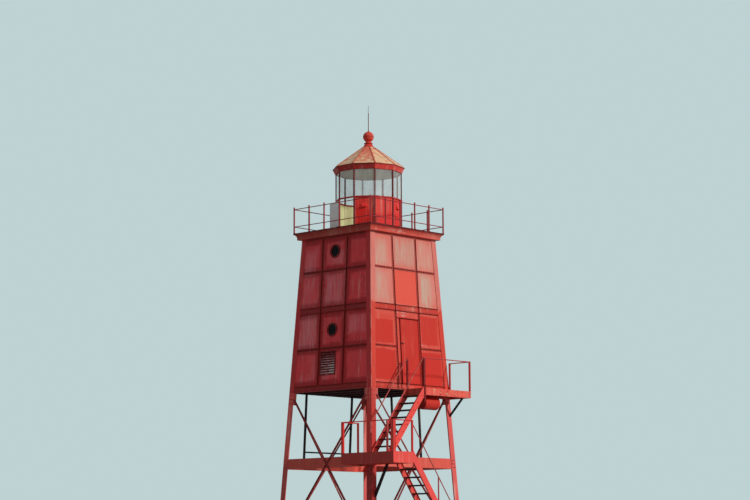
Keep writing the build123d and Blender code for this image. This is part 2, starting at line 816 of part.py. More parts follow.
# Two vent hoods on the parapet, open below: a sloping plate between two cheeks
vent_low = sill_bottom - vent_drop - vent_height
vent_back = parapet_thickness / 2 - parapet_inset + seat_gap
vent_slope = math.hypot(vent_reach, vent_height)
cheek = [(vent_back, 0), (vent_back + vent_reach, 0), (vent_back, vent_height)]
hood = [(vent_back + vent_reach, 0), (vent_back, vent_height),
        (vent_back, vent_height - vent_plate * vent_slope / vent_reach),
        (vent_back + vent_reach - vent_plate * vent_slope / vent_height, 0)]
with BuildPart() as parapet_vents:
    for number in vent_sides:
        base = side_plane(number, vent_low)
        for place, width, outline in ((vent_width / 2, vent_width, hood), (vent_width / 2, vent_plate, cheek),
                                      (vent_plate - vent_width / 2, vent_plate, cheek)):
            with BuildSketch(Plane(origin=base.origin + base.x_dir * place, x_dir=-base.y_dir,
                                   z_dir=-base.x_dir)) as profile:
                with BuildLine():
                    Polyline(*outline, close=True)
                make_face()
            extrude(profile.sketch, amount=width)
keep(parapet_vents, "parapet_vents")

# Lantern door: a low leaf that stands open on the gallery
with BuildPart() as lantern_door:
    hinge_x, hinge_y = lantern_corner(doorway_side, lantern_radius + lantern_door_thickness / 2 + seat_gap)
    face_angle = -90 + (doorway_side + 0.5) * 360 / lantern_sides + 90
    leaf_angle = face_angle - lantern_door_angle
    leaf_plane = Plane(origin=(hinge_x, hinge_y, lantern_floor + lantern_door_lift),
                       x_dir=(math.cos(math.radians(leaf_angle)), math.sin(math.radians(leaf_angle)), 0),
                       z_dir=(0, 0, 1))
    with BuildSketch(leaf_plane) as leaf:
        with Locations((panel_width / 2, 0)):
            Rectangle(panel_width, lantern_door_thickness)
    extrude(leaf.sketch, amount=sill_bottom - lantern_floor - lantern_door_lift - lantern_door_head_gap)
keep(lantern_door, "lantern_door")

# Sill ring between the parapet and the glass
with BuildPart() as lantern_sill:
    with BuildSketch(Plane.XY.offset(sill_bottom)):
        RegularPolygon(lantern_radius + sill_overhang, lantern_sides, rotation=-90)
        RegularPolygon(lantern_radius + sill_overhang - sill_width, lantern_sides, rotation=-90,
                       mode=Mode.SUBTRACT)
    extrude(amount=sill_depth)
keep(lantern_sill, "lantern_sill")

# Ten panes
with BuildPart() as lantern_glass:
    for number in range(lantern_sides):
        with BuildSketch(side_plane(number, sill_top)) as pane:
            with Locations((0, glass_inset)):
                Rectangle(panel_width, glass_thickness)
        extrude(pane.sketch, amount=glass_height)
keep(lantern_glass, "lantern_glass")

# Lantern cornice: a flat soffit ring with a plate that flares out to the eave
cornice_foot = lantern_radius + lantern_cornice_overhang
soffit_radius = cornice_foot - lantern_cornice_soffit
with BuildPart() as lantern_cornice:
    loft([decagon(cornice_foot, glass_top), decagon(eave_radius, cornice_top)])
    loft([decagon(cornice_foot - lantern_cornice_plate, glass_top + lantern_cornice_plate),
          decagon(eave_radius - lantern_cornice_plate, cornice_top)], mode=Mode.SUBTRACT)
    extrude(decagon(soffit_radius, glass_top), amount=lantern_cornice_plate, mode=Mode.SUBTRACT)
keep(lantern_cornice, "lantern_cornice")

with BuildPart() as lantern_ceiling:
    extrude(decagon(soffit_radius - seat_gap, glass_top), amount=ceiling_thickness)
keep(lantern_ceiling, "lantern_ceiling")

# Roof: a ten-sided shell with a rib on each ridge
roof_run = eave_radius - roof_top_radius
roof_across = roof_plate * math.hypot(roof_run, roof_height) / roof_height
crown_radius = roof_top_radius + (roof_run * roof_plate / roof_height) - roof_across
rib_rise = roof_rib_setback * roof_height / roof_run
with BuildPart() as roof:
    loft([decagon(eave_radius, cornice_top), decagon(roof_top_radius, roof_top)])
    loft([decagon(eave_radius - roof_across, cornice_top), decagon(crown_radius, roof_top - roof_plate)],
         mode=Mode.SUBTRACT)
    for number in range(lantern_sides):
        start = (*lantern_corner(number, eave_radius - roof_rib_setback), cornice_top + rib_rise)
        end = (*lantern_corner(number, roof_top_radius), roof_top)
        round_bar(start, end, roof_rib_radius)
keep(roof, "roof")

# Ball ventilator of thin plate, on its cone and collar
cone_top = roof_top + ventilator_cone_height
collar_top = cone_top + ventilator_collar_height
neck_meet = ball_height - math.sqrt(ball_radius ** 2 - ventilator_neck_radius ** 2)
with BuildPart() as ventilator:
    with BuildSketch(Plane.XZ):
        with BuildLine():
            Polyline((0, roof_top), (ventilator_foot_radius, roof_top), (ventilator_cone_radius, cone_top),
                     (ventilator_collar_radius, cone_top), (ventilator_collar_radius, collar_top),
                     (ventilator_neck_radius, collar_top), (ventilator_neck_radius, neck_meet))
            RadiusArc((ventilator_neck_radius, neck_meet), (ball_radius, ball_height), -ball_radius)
            RadiusArc((ball_radius, ball_height), (0, ball_height + ball_radius), -ball_radius)
            Line((0, ball_height + ball_radius), (0, roof_top))
        make_face()
    revolve(axis=Axis.Z)
    with BuildSketch(Plane.XZ):
        with BuildLine():
            cavity_radius = ball_radius - ventilator_plate
            throat_radius = ventilator_neck_radius - ventilator_plate
            throat_meet = ball_height - math.sqrt(cavity_radius ** 2 - throat_radius ** 2)
            Polyline((0, roof_top), (throat_radius, roof_top), (throat_radius, throat_meet))
            RadiusArc((throat_radius, throat_meet), (cavity_radius, ball_height), -cavity_radius)
            RadiusArc((cavity_radius, ball_height), (0, ball_height + cavity_radius), -cavity_radius)
            Line((0, ball_height + cavity_radius), (0, roof_top))
        make_face()
    revolve(axis=Axis.Z, mode=Mode.SUBTRACT)
keep(ventilator, "ball_ventilator")

with BuildPart() as lightning_rod:
    with BuildSketch(Plane.XZ):
        with BuildLine():
            rod_foot = ball_height + ball_radius
            stem_top = rod_foot + rod_stem_height
            rod_top = stem_top + rod_tip_height
            Polyline((0, rod_foot), (rod_foot_radius, rod_foot), (rod_radius, rod_foot + rod_foot_height),
                     (rod_radius, stem_top), (rod_tip_radius, stem_top),
                     (rod_tip_radius, rod_top - rod_point_height), (0, rod_top), close=True)
        make_face()
    revolve(axis=Axis.Z)
keep(lightning_rod, "lightning_rod")

# Upper landing: a deck plate on fascia plates and joists
landing_under = landing_top - landing_deck - seat_gap
with BuildPart() as upper_landing:
    block((landing_left, landing_outer, landing_top - landing_deck), (landing_right, landing_inner, landing_top))
    for y in (landing_outer, landing_inner - landing_plate):
        block((landing_left, y, landing_low), (landing_right, y + landing_plate, landing_under))
    for number in range(landing_bays + 1):
        x = landing_left + number * (landing_right - landing_left - landing_plate) / landing_bays
        block((x, landing_outer + landing_plate + seat_gap, landing_low),
              (x + landing_plate, landing_inner - landing_plate - seat_gap, landing_under))
keep(upper_landing, "upper_landing")

# Lower landing, notched round the near leg: two deck plates on fascia plates and joists
lower_landing_under = lower_landing_top - landing_deck - seat_gap
with BuildPart() as lower_landing:
    deck_low = lower_landing_top - landing_deck
    block((lower_landing_left, lower_landing_outer, deck_low), (lower_landing_right, notch, lower_landing_top))
    block((lower_landing_left, notch + seat_gap, deck_low), (notch, lower_landing_inner, lower_landing_top))
    inside = lower_landing_left + landing_plate + seat_gap
    joist_end = notch - landing_plate - seat_gap
    for start_x, start_y, end_x, end_y in (
        (lower_landing_left, lower_landing_outer, lower_landing_left + landing_plate, lower_landing_inner),
        (notch - landing_plate, notch + seat_gap, notch, lower_landing_inner),
        (lower_landing_right - landing_plate, lower_landing_outer, lower_landing_right, notch),
        (inside, lower_landing_outer, lower_landing_right - landing_plate - seat_gap,
         lower_landing_outer + landing_plate),
        (inside, lower_landing_inner - landing_plate, joist_end, lower_landing_inner),
        (inside, notch - landing_plate, lower_landing_right - landing_plate - seat_gap, notch),
    ):
        block((start_x, start_y, lower_landing_low), (end_x, end_y, lower_landing_under))
    pitch = (notch - lower_landing_outer - landing_plate) / landing_bays
    for number in range(1, landing_bays):
        y = lower_landing_outer + number * pitch
        block((inside, y, lower_landing_low),
              (lower_landing_right - landing_plate - seat_gap, y + landing_plate, lower_landing_under))
keep(lower_landing, "lower_landing")


def flight(head, foot, top, bottom, side_low, side_high, risers, names):
    """Stringers and treads of a straight flight along X between two heights."""
    run = foot - head
    going = run / risers
    rise = (top - bottom) / risers
    slope = math.hypot(going, rise)
    normal_drop = stringer_depth * slope / abs(going)
    lift = stringer_lift
    with BuildPart() as stringers:
        for near, inward in ((side_low, 1), (side_high, -1)):
            level = top + lift
            outer = [(head, level), (foot, bottom + lift), (foot, bottom)]
            shift = (lift - normal_drop) * abs(going) / rise * (1 if foot > head else -1)
            outer += [(foot + shift, bottom), (head, level - normal_drop)]
            with BuildSketch(Plane(origin=(0, near, 0), x_dir=(1, 0, 0), z_dir=(0, -1, 0))) as web:
                with BuildLine():
                    Polyline(*outer, close=True)
                make_face()
            extrude(web.sketch, amount=-inward * stringer_thickness)
            flange_offset = stringer_thickness * slope / abs(going)
            for offset in (0, normal_drop - flange_offset):
                high = level - offset
                step = rise / abs(going)
                cut = bottom
                reach = (high - cut) / step * (1 if foot > head else -1)
                low_reach = (high - flange_offset - cut) / step * (1 if foot > head else -1)
                if offset == 0:
                    corners = [(head, high), (foot, bottom + lift), (foot, bottom + lift - flange_offset),
                               (head, high - flange_offset)]
                else:
                    corners = [(head, high), (head + reach, cut), (head + low_reach, cut),
                               (head, high - flange_offset)]
                with BuildSketch(Plane(origin=(0, near, 0), x_dir=(1, 0, 0), z_dir=(0, -1, 0))) as flange:
                    with BuildLine():
                        Polyline(*corners, close=True)
                    make_face()
                extrude(flange.sketch, amount=-inward * stringer_flange)
    keep(stringers, names[0])
    with BuildPart() as treads:
        centre_shift = (normal_drop / 2 - lift) * abs(going) / rise * (-1 if foot > head else 1)
        for number in range(1, risers):
            x = head + number * going + centre_shift
            z = top - number * rise
            with BuildSketch(Plane.XY.offset(z - tread_thickness)) as tread:
                with Locations((x, (side_low + side_high) / 2)):
                    Rectangle(tread_depth, side_high - side_low - 2 * stringer_thickness)
            extrude(tread.sketch, amount=tread_thickness)
    keep(treads, names[1])


flight(landing_left - seat_gap, upper_flight_foot, landing_top, lower_landing_top, landing_outer,
       landing_outer + flight_width, upper_risers, ("upper_stringers", "upper_treads"))
flight(lower_landing_right + seat_gap, lower_flight_foot, lower_landing_top, 0, lower_landing_outer,
       lower_landing_outer + flight_width, lower_risers, ("lower_stringers", "lower_treads"))


def post(x, y, bottom, height, side=stair_post_side):
    """Upright square post."""
    beam((x, y, bottom), (x, y, bottom + height), side)


half_post = stair_post_side / 2
half_broad = broad_post_side / 2


def level_rail(start, end, level, start_side=stair_post_side, end_side=stair_post_side):
    """Level round rail between two posts, given by their middles and their sides."""
    direction = (Vector(*end) - Vector(*start)).normalized()
    first = Vector(*start, level) + direction * (start_side / 2 + seat_gap)
    last = Vector(*end, level) - direction * (end_side / 2 + seat_gap)
    round_bar(first, last, stair_rail_radius)


def sloping_rail(y, start_x, start_level, end_x, end_level):
    """Sloping round rail between two upright faces, its square ends just clear of them."""
    slope = math.atan2(end_level - start_level, end_x - start_x)
    setback = seat_gap + stair_rail_radius * abs(math.sin(slope))
    drop = setback * math.tan(slope)
    round_bar((start_x + setback, y, start_level + drop), (end_x - setback, y, end_level - drop),
              stair_rail_radius)


# Upper rails: along the outer edge and the right end of the landing
near_line = landing_outer + half_post
far_line = landing_outer + flight_width - half_post
upper_level = landing_top + landing_post_height - stair_rail_radius
with BuildPart() as upper_rails:
    left = landing_left + half_broad
    right = landing_right - half_post
    far = landing_inner - half_post
    post(left, landing_outer + half_broad, landing_top, landing_post_height, broad_post_side)
    for x, y in ((right, near_line), (right, far), (landing_left + half_post, far_line)):
        post(x, y, landing_top, landing_post_height)
    level_rail((left, near_line), (right, near_line), upper_level, broad_post_side)
    level_rail((right, near_line), (right, far), upper_level)
keep(upper_rails, "upper_rails")

# Upper handrails: from posts at the foot of the flight to the posts at its head
with BuildPart() as upper_handrails:
    rise_per_run = (landing_top - lower_landing_top) / (landing_left - upper_flight_foot)
    foot_post = upper_flight_foot - half_post - seat_gap
    foot_face = foot_post + half_post
    foot_level = upper_level - (landing_left - foot_face) * rise_per_run
    for y in (near_line, far_line):
        post(foot_post, y, lower_landing_top, foot_level + 2 * stair_rail_radius - lower_landing_top)
        sloping_rail(y, foot_face, foot_level, landing_left, upper_level)
keep(upper_handrails, "upper_handrails")

# Lower rails: round the landing, with a broad newel between the two flights
lower_level = lower_landing_top + landing_post_height - stair_rail_radius
lower_line = lower_landing_outer + half_post
with BuildPart() as lower_rails:
    left = lower_landing_left + half_broad
    near = lower_landing_outer + half_broad
    far = lower_landing_inner - half_broad
    front_right = (lower_landing_right - half_post, lower_line)
    back_right = (notch - half_post, lower_landing_inner - half_post)
    for y in (near, far):
        post(left, y, lower_landing_top, landing_post_height, broad_post_side)
    for x, y in (front_right, back_right):
        post(x, y, lower_landing_top, landing_post_height)
    level_rail((left, near), (left, far), lower_level, broad_post_side, broad_post_side)
    level_rail((left, lower_line), front_right, lower_level, broad_post_side)
    level_rail((left, back_right[1]), back_right, lower_level, broad_post_side)
    newel_y = landing_outer - newel_side / 2 - seat_gap
    post(lower_landing_right - newel_side / 2, newel_y, lower_landing_top, landing_post_height, newel_side)
keep(lower_rails, "lower_rails")

# Lower handrail on the outer side of the flight: posts cut to the slope, with the rail over them
lower_fall = lower_landing_top / (lower_flight_foot - lower_landing_right)
lower_stretch = math.hypot(1, lower_fall)


def lower_nosing(x):
    """Height of the line through the nosings of the lower flight."""
    return lower_landing_top - (x - lower_landing_right) * lower_fall


with BuildPart() as lower_handrail:
    start_x = lower_landing_right
    end_x = lower_flight_foot - handrail_post_side
    half_side = handrail_post_side / 2
    sloping_rail(lower_line, start_x, lower_nosing(start_x) + lower_handrail_rise, lower_flight_foot,
                 lower_nosing(lower_flight_foot) + lower_handrail_rise)
    base_lift = stringer_lift + seat_gap
    head_lift = lower_handrail_rise - stair_rail_radius * lower_stretch - seat_gap
    for x in ((start_x + end_x) / 2, end_x):
        with BuildSketch(Plane(origin=(0, lower_line - half_side, 0), x_dir=(1, 0, 0), z_dir=(0, -1, 0))):
            with BuildLine():
                before, after = x - half_side, x + half_side
                Polyline((before, lower_nosing(before) + base_lift), (after, lower_nosing(after) + base_lift),
                         (after, lower_nosing(after) + head_lift), (before, lower_nosing(before) + head_lift),
                         close=True)
            make_face()
        extrude(amount=-handrail_post_side)
keep(lower_handrail, "lower_handrail")


def knee(turn, place, side, top, drop, reach):
    """Strut from the outer face of a leg up to a landing, its near side at a place along that face."""
    foot = top - drop
    rise = side * math.hypot(drop, reach) / reach
    out = half_width(foot) + seat_gap
    profile_plane = Plane(origin=(*turned(turn, place, 0), 0), x_dir=(*turned(turn, 0, 1), 0),
                          z_dir=(*turned(turn, -1, 0), 0))
    with BuildSketch(profile_plane) as profile:
        with BuildLine():
            Polyline((out, foot), (half_width(foot + rise) + seat_gap, foot + rise),
                     (out + reach - rise * reach / drop, top), (out + reach, top), close=True)
        make_face()
    extrude(profile.sketch, amount=-side)


# Knee braces: under the upper landing from the right leg, and under the lower landing from the near leg
with BuildPart() as knee_braces:
    knee_place = half_width(landing_low - knee_reach) - leg_width / 2
    knee(FRONT, knee_place, knee_side, landing_low, knee_reach, knee_reach)
    knee(FRONT, lower_landing_right - lower_knee_side, lower_knee_side, lower_landing_low, lower_knee_drop,
         lower_knee_reach)
    bracket_place = landing_plate - notch - bracket_side
    knee(LEFT, bracket_place, bracket_side, lower_landing_low, bracket_reach, bracket_reach)
keep(knee_braces, "knee_brace")

# Drum hung under the upper landing
drum_axis_height = landing_low - drum_radius - seat_gap
with BuildPart() as drum_shell:
    with BuildSketch(Plane(origin=(drum_centre - drum_length / 2, drum_offset, drum_axis_height),
                           x_dir=(0, 1, 0), z_dir=(1, 0, 0))):
        Circle(drum_radius)
        Circle(drum_radius - drum_wall, mode=Mode.SUBTRACT)
    extrude(amount=drum_length)
keep(drum_shell, "drum_shell")

dome_sphere = (drum_radius ** 2 + drum_dome ** 2) / (2 * drum_dome)
dome_inside = dome_sphere - drum_wall
inside_radius = math.sqrt(dome_inside ** 2 - (dome_sphere - drum_dome) ** 2)
with BuildPart() as drum_ends:
    for sign in (-1, 1):
        end = (drum_centre + sign * drum_length / 2, drum_offset, drum_axis_height)
        with BuildSketch(Plane(origin=end, x_dir=(sign, 0, 0), z_dir=(0, -sign, 0))):
            with BuildLine():
                Line((0, inside_radius), (0, drum_radius))
                RadiusArc((0, drum_radius), (drum_dome, 0), dome_sphere)
                Line((drum_dome, 0), (drum_dome - drum_wall, 0))
                RadiusArc((drum_dome - drum_wall, 0), (0, inside_radius), -dome_inside)
            make_face()
        revolve(axis=Axis(end, (sign, 0, 0)))
keep(drum_ends, "drum_ends")
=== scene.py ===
import math

import bmesh
import bpy
from mathutils import Matrix, Vector


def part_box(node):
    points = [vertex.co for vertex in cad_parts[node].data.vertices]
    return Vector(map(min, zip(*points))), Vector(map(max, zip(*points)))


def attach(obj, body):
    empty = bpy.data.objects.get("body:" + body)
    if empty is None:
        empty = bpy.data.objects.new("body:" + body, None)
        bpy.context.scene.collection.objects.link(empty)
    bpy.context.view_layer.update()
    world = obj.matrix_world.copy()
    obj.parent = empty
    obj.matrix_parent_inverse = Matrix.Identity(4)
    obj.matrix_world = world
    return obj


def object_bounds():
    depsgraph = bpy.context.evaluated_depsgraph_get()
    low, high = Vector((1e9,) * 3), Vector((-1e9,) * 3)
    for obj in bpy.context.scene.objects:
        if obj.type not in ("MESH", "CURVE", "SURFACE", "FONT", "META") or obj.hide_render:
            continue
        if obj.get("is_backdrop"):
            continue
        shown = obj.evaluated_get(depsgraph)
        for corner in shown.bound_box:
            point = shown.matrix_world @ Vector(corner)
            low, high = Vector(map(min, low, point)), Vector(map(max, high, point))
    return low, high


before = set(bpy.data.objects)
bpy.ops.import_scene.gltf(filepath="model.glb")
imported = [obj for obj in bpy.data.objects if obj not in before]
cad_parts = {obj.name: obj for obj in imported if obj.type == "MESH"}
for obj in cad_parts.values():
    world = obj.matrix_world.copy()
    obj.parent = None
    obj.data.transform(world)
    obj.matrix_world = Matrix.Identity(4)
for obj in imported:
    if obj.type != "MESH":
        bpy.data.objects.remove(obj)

# Looks of a red steel pierhead lighthouse, in metres.
# The door faces -Y, the louvre and the lantern door face -X, and the four outer faces lean inwards.

cad_low, cad_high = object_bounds()

# Sides of the tower, by the turn from the front about the vertical axis
FRONT, RIGHT, BACK, LEFT = 0, 90, 180, -90
SIDES = {"front": FRONT, "right": RIGHT, "back": BACK, "left": LEFT}

# Taper of the tower, read from a leg's outer corner
corner_tolerance = 0.001
leg_foot, leg_head = (corner.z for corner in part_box("leg_front_left"))


def corner_reach(level):
    """Distance of a leg's outer corner from the tower's middle plane at one of its ends."""
    points = (vertex.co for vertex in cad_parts["leg_front_left"].data.vertices)
    return max(-point.x for point in points if abs(point.z - level) < corner_tolerance)


side_slope = (corner_reach(leg_foot) - corner_reach(leg_head)) / (leg_head - leg_foot)
base_half_width = corner_reach(leg_foot) + side_slope * leg_foot

# Places on the faces
leg_width = 0.195
strap_depth = 0.004
strap_place = 0.525
rib_thickness = 0.010
body_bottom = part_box("front_wall_left")[0].z
deck_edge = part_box("gallery_deck")[1].x
deck_bottom, deck_top = (corner.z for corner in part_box("gallery_deck"))
band_height = 0.190
band_top = body_bottom + band_height
lower_seam = 6.308
belt_low = 7.405
belt_high = 7.600
upper_seam = 8.714
top_band = 9.720
louvre_low = 5.515
louvre_high = 6.185
louvre_left = -0.435
louvre_right = 0.155
louvre_slats = 9
cove_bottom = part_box("cove")[0].z
girder_low, girder_high = (corner.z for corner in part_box("girders"))
rail_thickness = 0.032
rail_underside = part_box("upper_rails")[1].z - rail_thickness
bracket_place = -1.86

# Lantern
lantern_sides = 10
lantern_radius = 1.055
parapet_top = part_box("lantern_sill")[0].z
sill_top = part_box("lantern_sill")[1].z
glass_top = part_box("lantern_glass")[1].z
doorway_side = 7


def half_width(height):
    """Half the tower's width between its outer faces at a height."""
    return base_half_width - side_slope * height


def side_axes(turn):
    """Directions along a side, to the right as seen from outside, and out of it, both level."""
    angle = math.radians(turn)
    return Vector((math.cos(angle), math.sin(angle), 0)), Vector((math.sin(angle), -math.cos(angle), 0))


def on_face(turn, along, height, depth=0.0):
    """Frame on a leaning face: x along it, y up it and z out of it."""
    right, out = side_axes(turn)
    normal = (out + Vector((0, 0, side_slope))).normalized()
    origin = right * along + out * (half_width(height) - depth) + Vector((0, 0, height))
    return framed(origin, right, normal)


def framed(origin, across, normal):
    """Matrix with x across, z along the normal and its origin at a point."""
    up = normal.cross(across).normalized()
    matrix = Matrix((across, up, normal)).transposed().to_4x4()
    matrix.translation = origin
    return matrix


def on_lantern(number, along, height, inset=0.0):
    """Frame on a side of the lantern: x along it, y up and z out of it."""
    angle = math.radians(-90 + (number + 0.5) * 360 / lantern_sides)
    out = Vector((math.cos(angle), math.sin(angle), 0))
    across = Vector((-out.y, out.x, 0))
    reach = lantern_radius * math.cos(math.pi / lantern_sides) - inset
    return framed(out * reach + across * along + Vector((0, 0, height)), across, out)


def spaced(start, end, pitch):
    """Evenly spaced places from start to end, about a pitch apart."""
    count = max(1, round(abs(end - start) / pitch))
    return [start + (end - start) * number / count for number in range(count + 1)]


def solids(name):
    """Boxes of the separate solids in a CAD node, as pairs of corners."""
    mesh = bmesh.new()
    mesh.from_mesh(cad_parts[name].data)
    bmesh.ops.remove_doubles(mesh, verts=mesh.verts, dist=corner_tolerance / 10)
    boxes = []
    waiting = set(mesh.verts)
    while waiting:
        group = [waiting.pop()]
        for vertex in group:
            near = {edge.other_vert(vertex) for edge in vertex.link_edges} & waiting
            waiting -= near
            group += near
        corners = [vertex.co for vertex in group]
        boxes.append(tuple(Vector(tuple(map(end, zip(*corners)))) for end in (min, max)))
    mesh.free()
    return sorted(boxes, key=lambda box: tuple(box[0]))


# Sizes shared by the rivets and bolts, whose heads start a little inside what carries them
sink = 0.001
rivet_sides = 8
washer_height = 0.004
head_height = 0.014
head_top = 0.018


class Shape:
    """Points and faces of one piece, gathered before its mesh is made."""

    def __init__(self):
        self.points = []
        self.faces = []

    def add(self, points, faces, matrix=Matrix.Identity(4)):
        """Add a closed form, moved by a matrix."""
        first = len(self.points)
        self.points += [tuple(matrix @ Vector(point)) for point in points]
        self.faces += [tuple(first + index for index in face) for face in faces]

    def turned(self, profile, segments, matrix=Matrix.Identity(4), start=0.0, closed=False):
        """Add a form turned about z from (radius, height) points, which may close into a hoop's section."""
        points = []
        rings = []
        for radius, height in profile:
            count = segments if radius else 1
            rings.append(range(len(points), len(points) + count))
            for number in range(count):
                angle = start + 2 * math.pi * number / segments
                points.append((radius * math.cos(angle), radius * math.sin(angle), height))
        faces = []
        for below, above in zip(rings, rings[1:] + rings[:1] if closed else rings[1:]):
            for number in range(segments):
                after = (number + 1) % segments
                face = (below[number % len(below)], below[after % len(below)],
                        above[after % len(above)], above[number % len(above)])
                faces.append(tuple(dict.fromkeys(face)))
        self.add(points, faces, matrix)

    def hoop(self, inner, outer, low, high, segments, matrix=Matrix.Identity(4), start=0.0):
        """Add a ring round z with a square section."""
        self.turned([(inner, low), (outer, low), (outer, high), (inner, high)], segments, matrix, start, True)

    def rivet(self, matrix, radius):
        """Add a round rivet head."""
        first = len(self.points)
        self.turned([(radius, -sink), (radius * 0.8, radius * 0.45), (0, radius * 0.7)], rivet_sides, matrix)
        self.faces.append(tuple(reversed(range(first, first + rivet_sides))))

    def bolt(self, matrix, radius):
        """Add a washer and a chamfered hexagon head."""
        washer = radius * 1.25
        chamfer = radius * 0.86
        base = washer_height - sink
        self.turned([(0, -sink), (washer, -sink), (washer, washer_height), (0, washer_height)], 12, matrix)
        self.turned([(0, base), (radius, base), (radius, head_height), (chamfer, head_top), (0, head_top)], 6,
                    matrix)

    def box(self, low, high, matrix=Matrix.Identity(4)):
        """Add a box between two corners."""
        points = [(x, y, z) for z in (low[2], high[2]) for y in (low[1], high[1]) for x in (low[0], high[0])]
        faces = [(0, 2, 3, 1), (4, 5, 7, 6), (0, 1, 5, 4), (2, 6, 7, 3), (0, 4, 6, 2), (1, 3, 7, 5)]
        self.add(points, faces, matrix)

    def finish(self, name, coat, body="tower", smooth=False):
        """Make the piece's mesh and object, and let it ride on a body."""
        mesh = bpy.data.meshes.new(name)
        mesh.from_pydata(self.points, [], self.faces)
        if smooth:
            mesh.shade_smooth()
        mesh.materials.append(COATS[coat])
        piece = bpy.data.objects.new(name, mesh)
        bpy.context.scene.collection.objects.link(piece)
        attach(piece, body)


def fixings(name, coat, add, places, radius):
    """Piece of rivets or bolts of one size, with heads that look along z at some places."""
    heads = Shape()
    for place in places:
        add(heads, place, radius)
    heads.finish(name, coat, smooth=add is Shape.rivet)


def linear(colour):
    """Colour for a shader from its display values, 0 to 255."""
    shares = (value / 255 for value in colour)
    return (*(share / 12.92 if share <= 0.04045 else ((share + 0.055) / 1.055) ** 2.4 for share in shares), 1.0)


# Camera, at the photograph's place and turn
camera_lens = 96.0
camera_sensor = 36.0
camera_distance = 61.822
camera_height = 0.284
camera_azimuth = -46.39
camera_yaw = 0.179
camera_pitch = 8.466
camera_roll = -0.246
farthest_seen = 500.0


def add_camera():
    """Camera that stands near the ground and looks up at the tower."""
    azimuth, yaw, pitch, roll = (math.radians(angle) for angle in
                                 (camera_azimuth, camera_yaw, camera_pitch, camera_roll))
    data = bpy.data.cameras.new("camera")
    data.lens = camera_lens
    data.sensor_width = camera_sensor
    data.clip_end = farthest_seen
    camera = bpy.data.objects.new("camera", data)
    stand = Vector((camera_distance * math.sin(azimuth), -camera_distance * math.cos(azimuth), camera_height))
    camera.matrix_world = (Matrix.Translation(stand) @ Matrix.Rotation(azimuth - yaw, 4, "Z")
                           @ Matrix.Rotation(math.pi / 2 + pitch, 4, "X") @ Matrix.Rotation(roll, 4, "Z"))
    bpy.context.scene.collection.objects.link(camera)
    bpy.context.scene.camera = camera


def node_sum(operation):
    """Function that puts values, the first of them a node's output, through a sum."""
    return lambda first, *others: first.nodes.calc(operation, first, *others)


most = node_sum("MAXIMUM")
least = node_sum("MINIMUM")


class Value:
    """Output of a shader node, for sums and colours written as on plain ones."""

    def __init__(self, nodes, socket):
        self.nodes = nodes
        self.socket = socket

    __add__ = node_sum("ADD")
    __sub__ = node_sum("SUBTRACT")
    __mul__ = node_sum("MULTIPLY")
    __truediv__ = node_sum("DIVIDE")
    __gt__ = node_sum("GREATER_THAN")
    __lt__ = node_sum("LESS_THAN")
    __abs__ = node_sum("ABSOLUTE")

    def step(self, low, high):
        """Share that rises smoothly from 0 at low to 1 at high."""
        return self.nodes.node("MapRange", (self, low, high), interpolation_type="SMOOTHSTEP")

    def within(self, low, high, soft):
        """Share that is 1 between two places and 0 outside them."""
        return self.step(low - soft, low + soft) - self.step(high - soft, high + soft)

    def nearest(self, places):
        """Distance to the nearest of some places."""
        gaps = [abs(self - place) for place in places]
        best = gaps[0]
        for gap in gaps[1:]:
            best = least(best, gap)
        return best

    def under(self, colour, share):
        """This colour with another over it, where a share is high."""
        return self.nodes.mix(share, self, colour)

    def shade(self, factor):
        """This colour made brighter or darker by a factor."""
        return self.nodes.shade(self, factor)


# Shared colours, as display values
PRIMER = (212, 176, 150)
CHALK = (236, 204, 190)
WHITE_PEEL = (240, 230, 220)
RUST = (112, 50, 28)
# Dark red-brown for grime, and for painted shade on the legs under the landing
GRIME_AND_SHADE = (58, 18, 20)
CREAM = (255, 252, 190)
GREY_BEIGE = (210, 188, 164)
ORANGE_RED = (246, 94, 74)
FRESH_RED = (214, 50, 38)
PALE_PINK = (246, 160, 164)
DARK_BLOTCH = (136, 22, 26)
SALMON = (230, 142, 126)


class Nodes:
    """Shader nodes of a material or a world, with short calls for them."""

    def __init__(self, owner):
        owner.use_nodes = True
        self.tree = owner.node_tree

    def put(self, value, socket):
        """Link a value to a socket, or set a plain one there."""
        if isinstance(value, Value):
            self.tree.links.new(value.socket, socket)
        else:
            socket.default_value = value

    def node(self, kind, values, output=0, **settings):
        """Add a node with settings and with values for its inputs, and give one of its outputs."""
        node = self.tree.nodes.new("ShaderNode" + kind)
        for name, setting in settings.items():
            setattr(node, name, setting)
        for key, value in values.items() if isinstance(values, dict) else enumerate(values):
            self.put(value, node.inputs[key])
        return Value(self, node.outputs[output])

    def calc(self, operation, *values):
        """Result of a sum on numbers or values."""
        return self.node("Math", values, operation=operation)


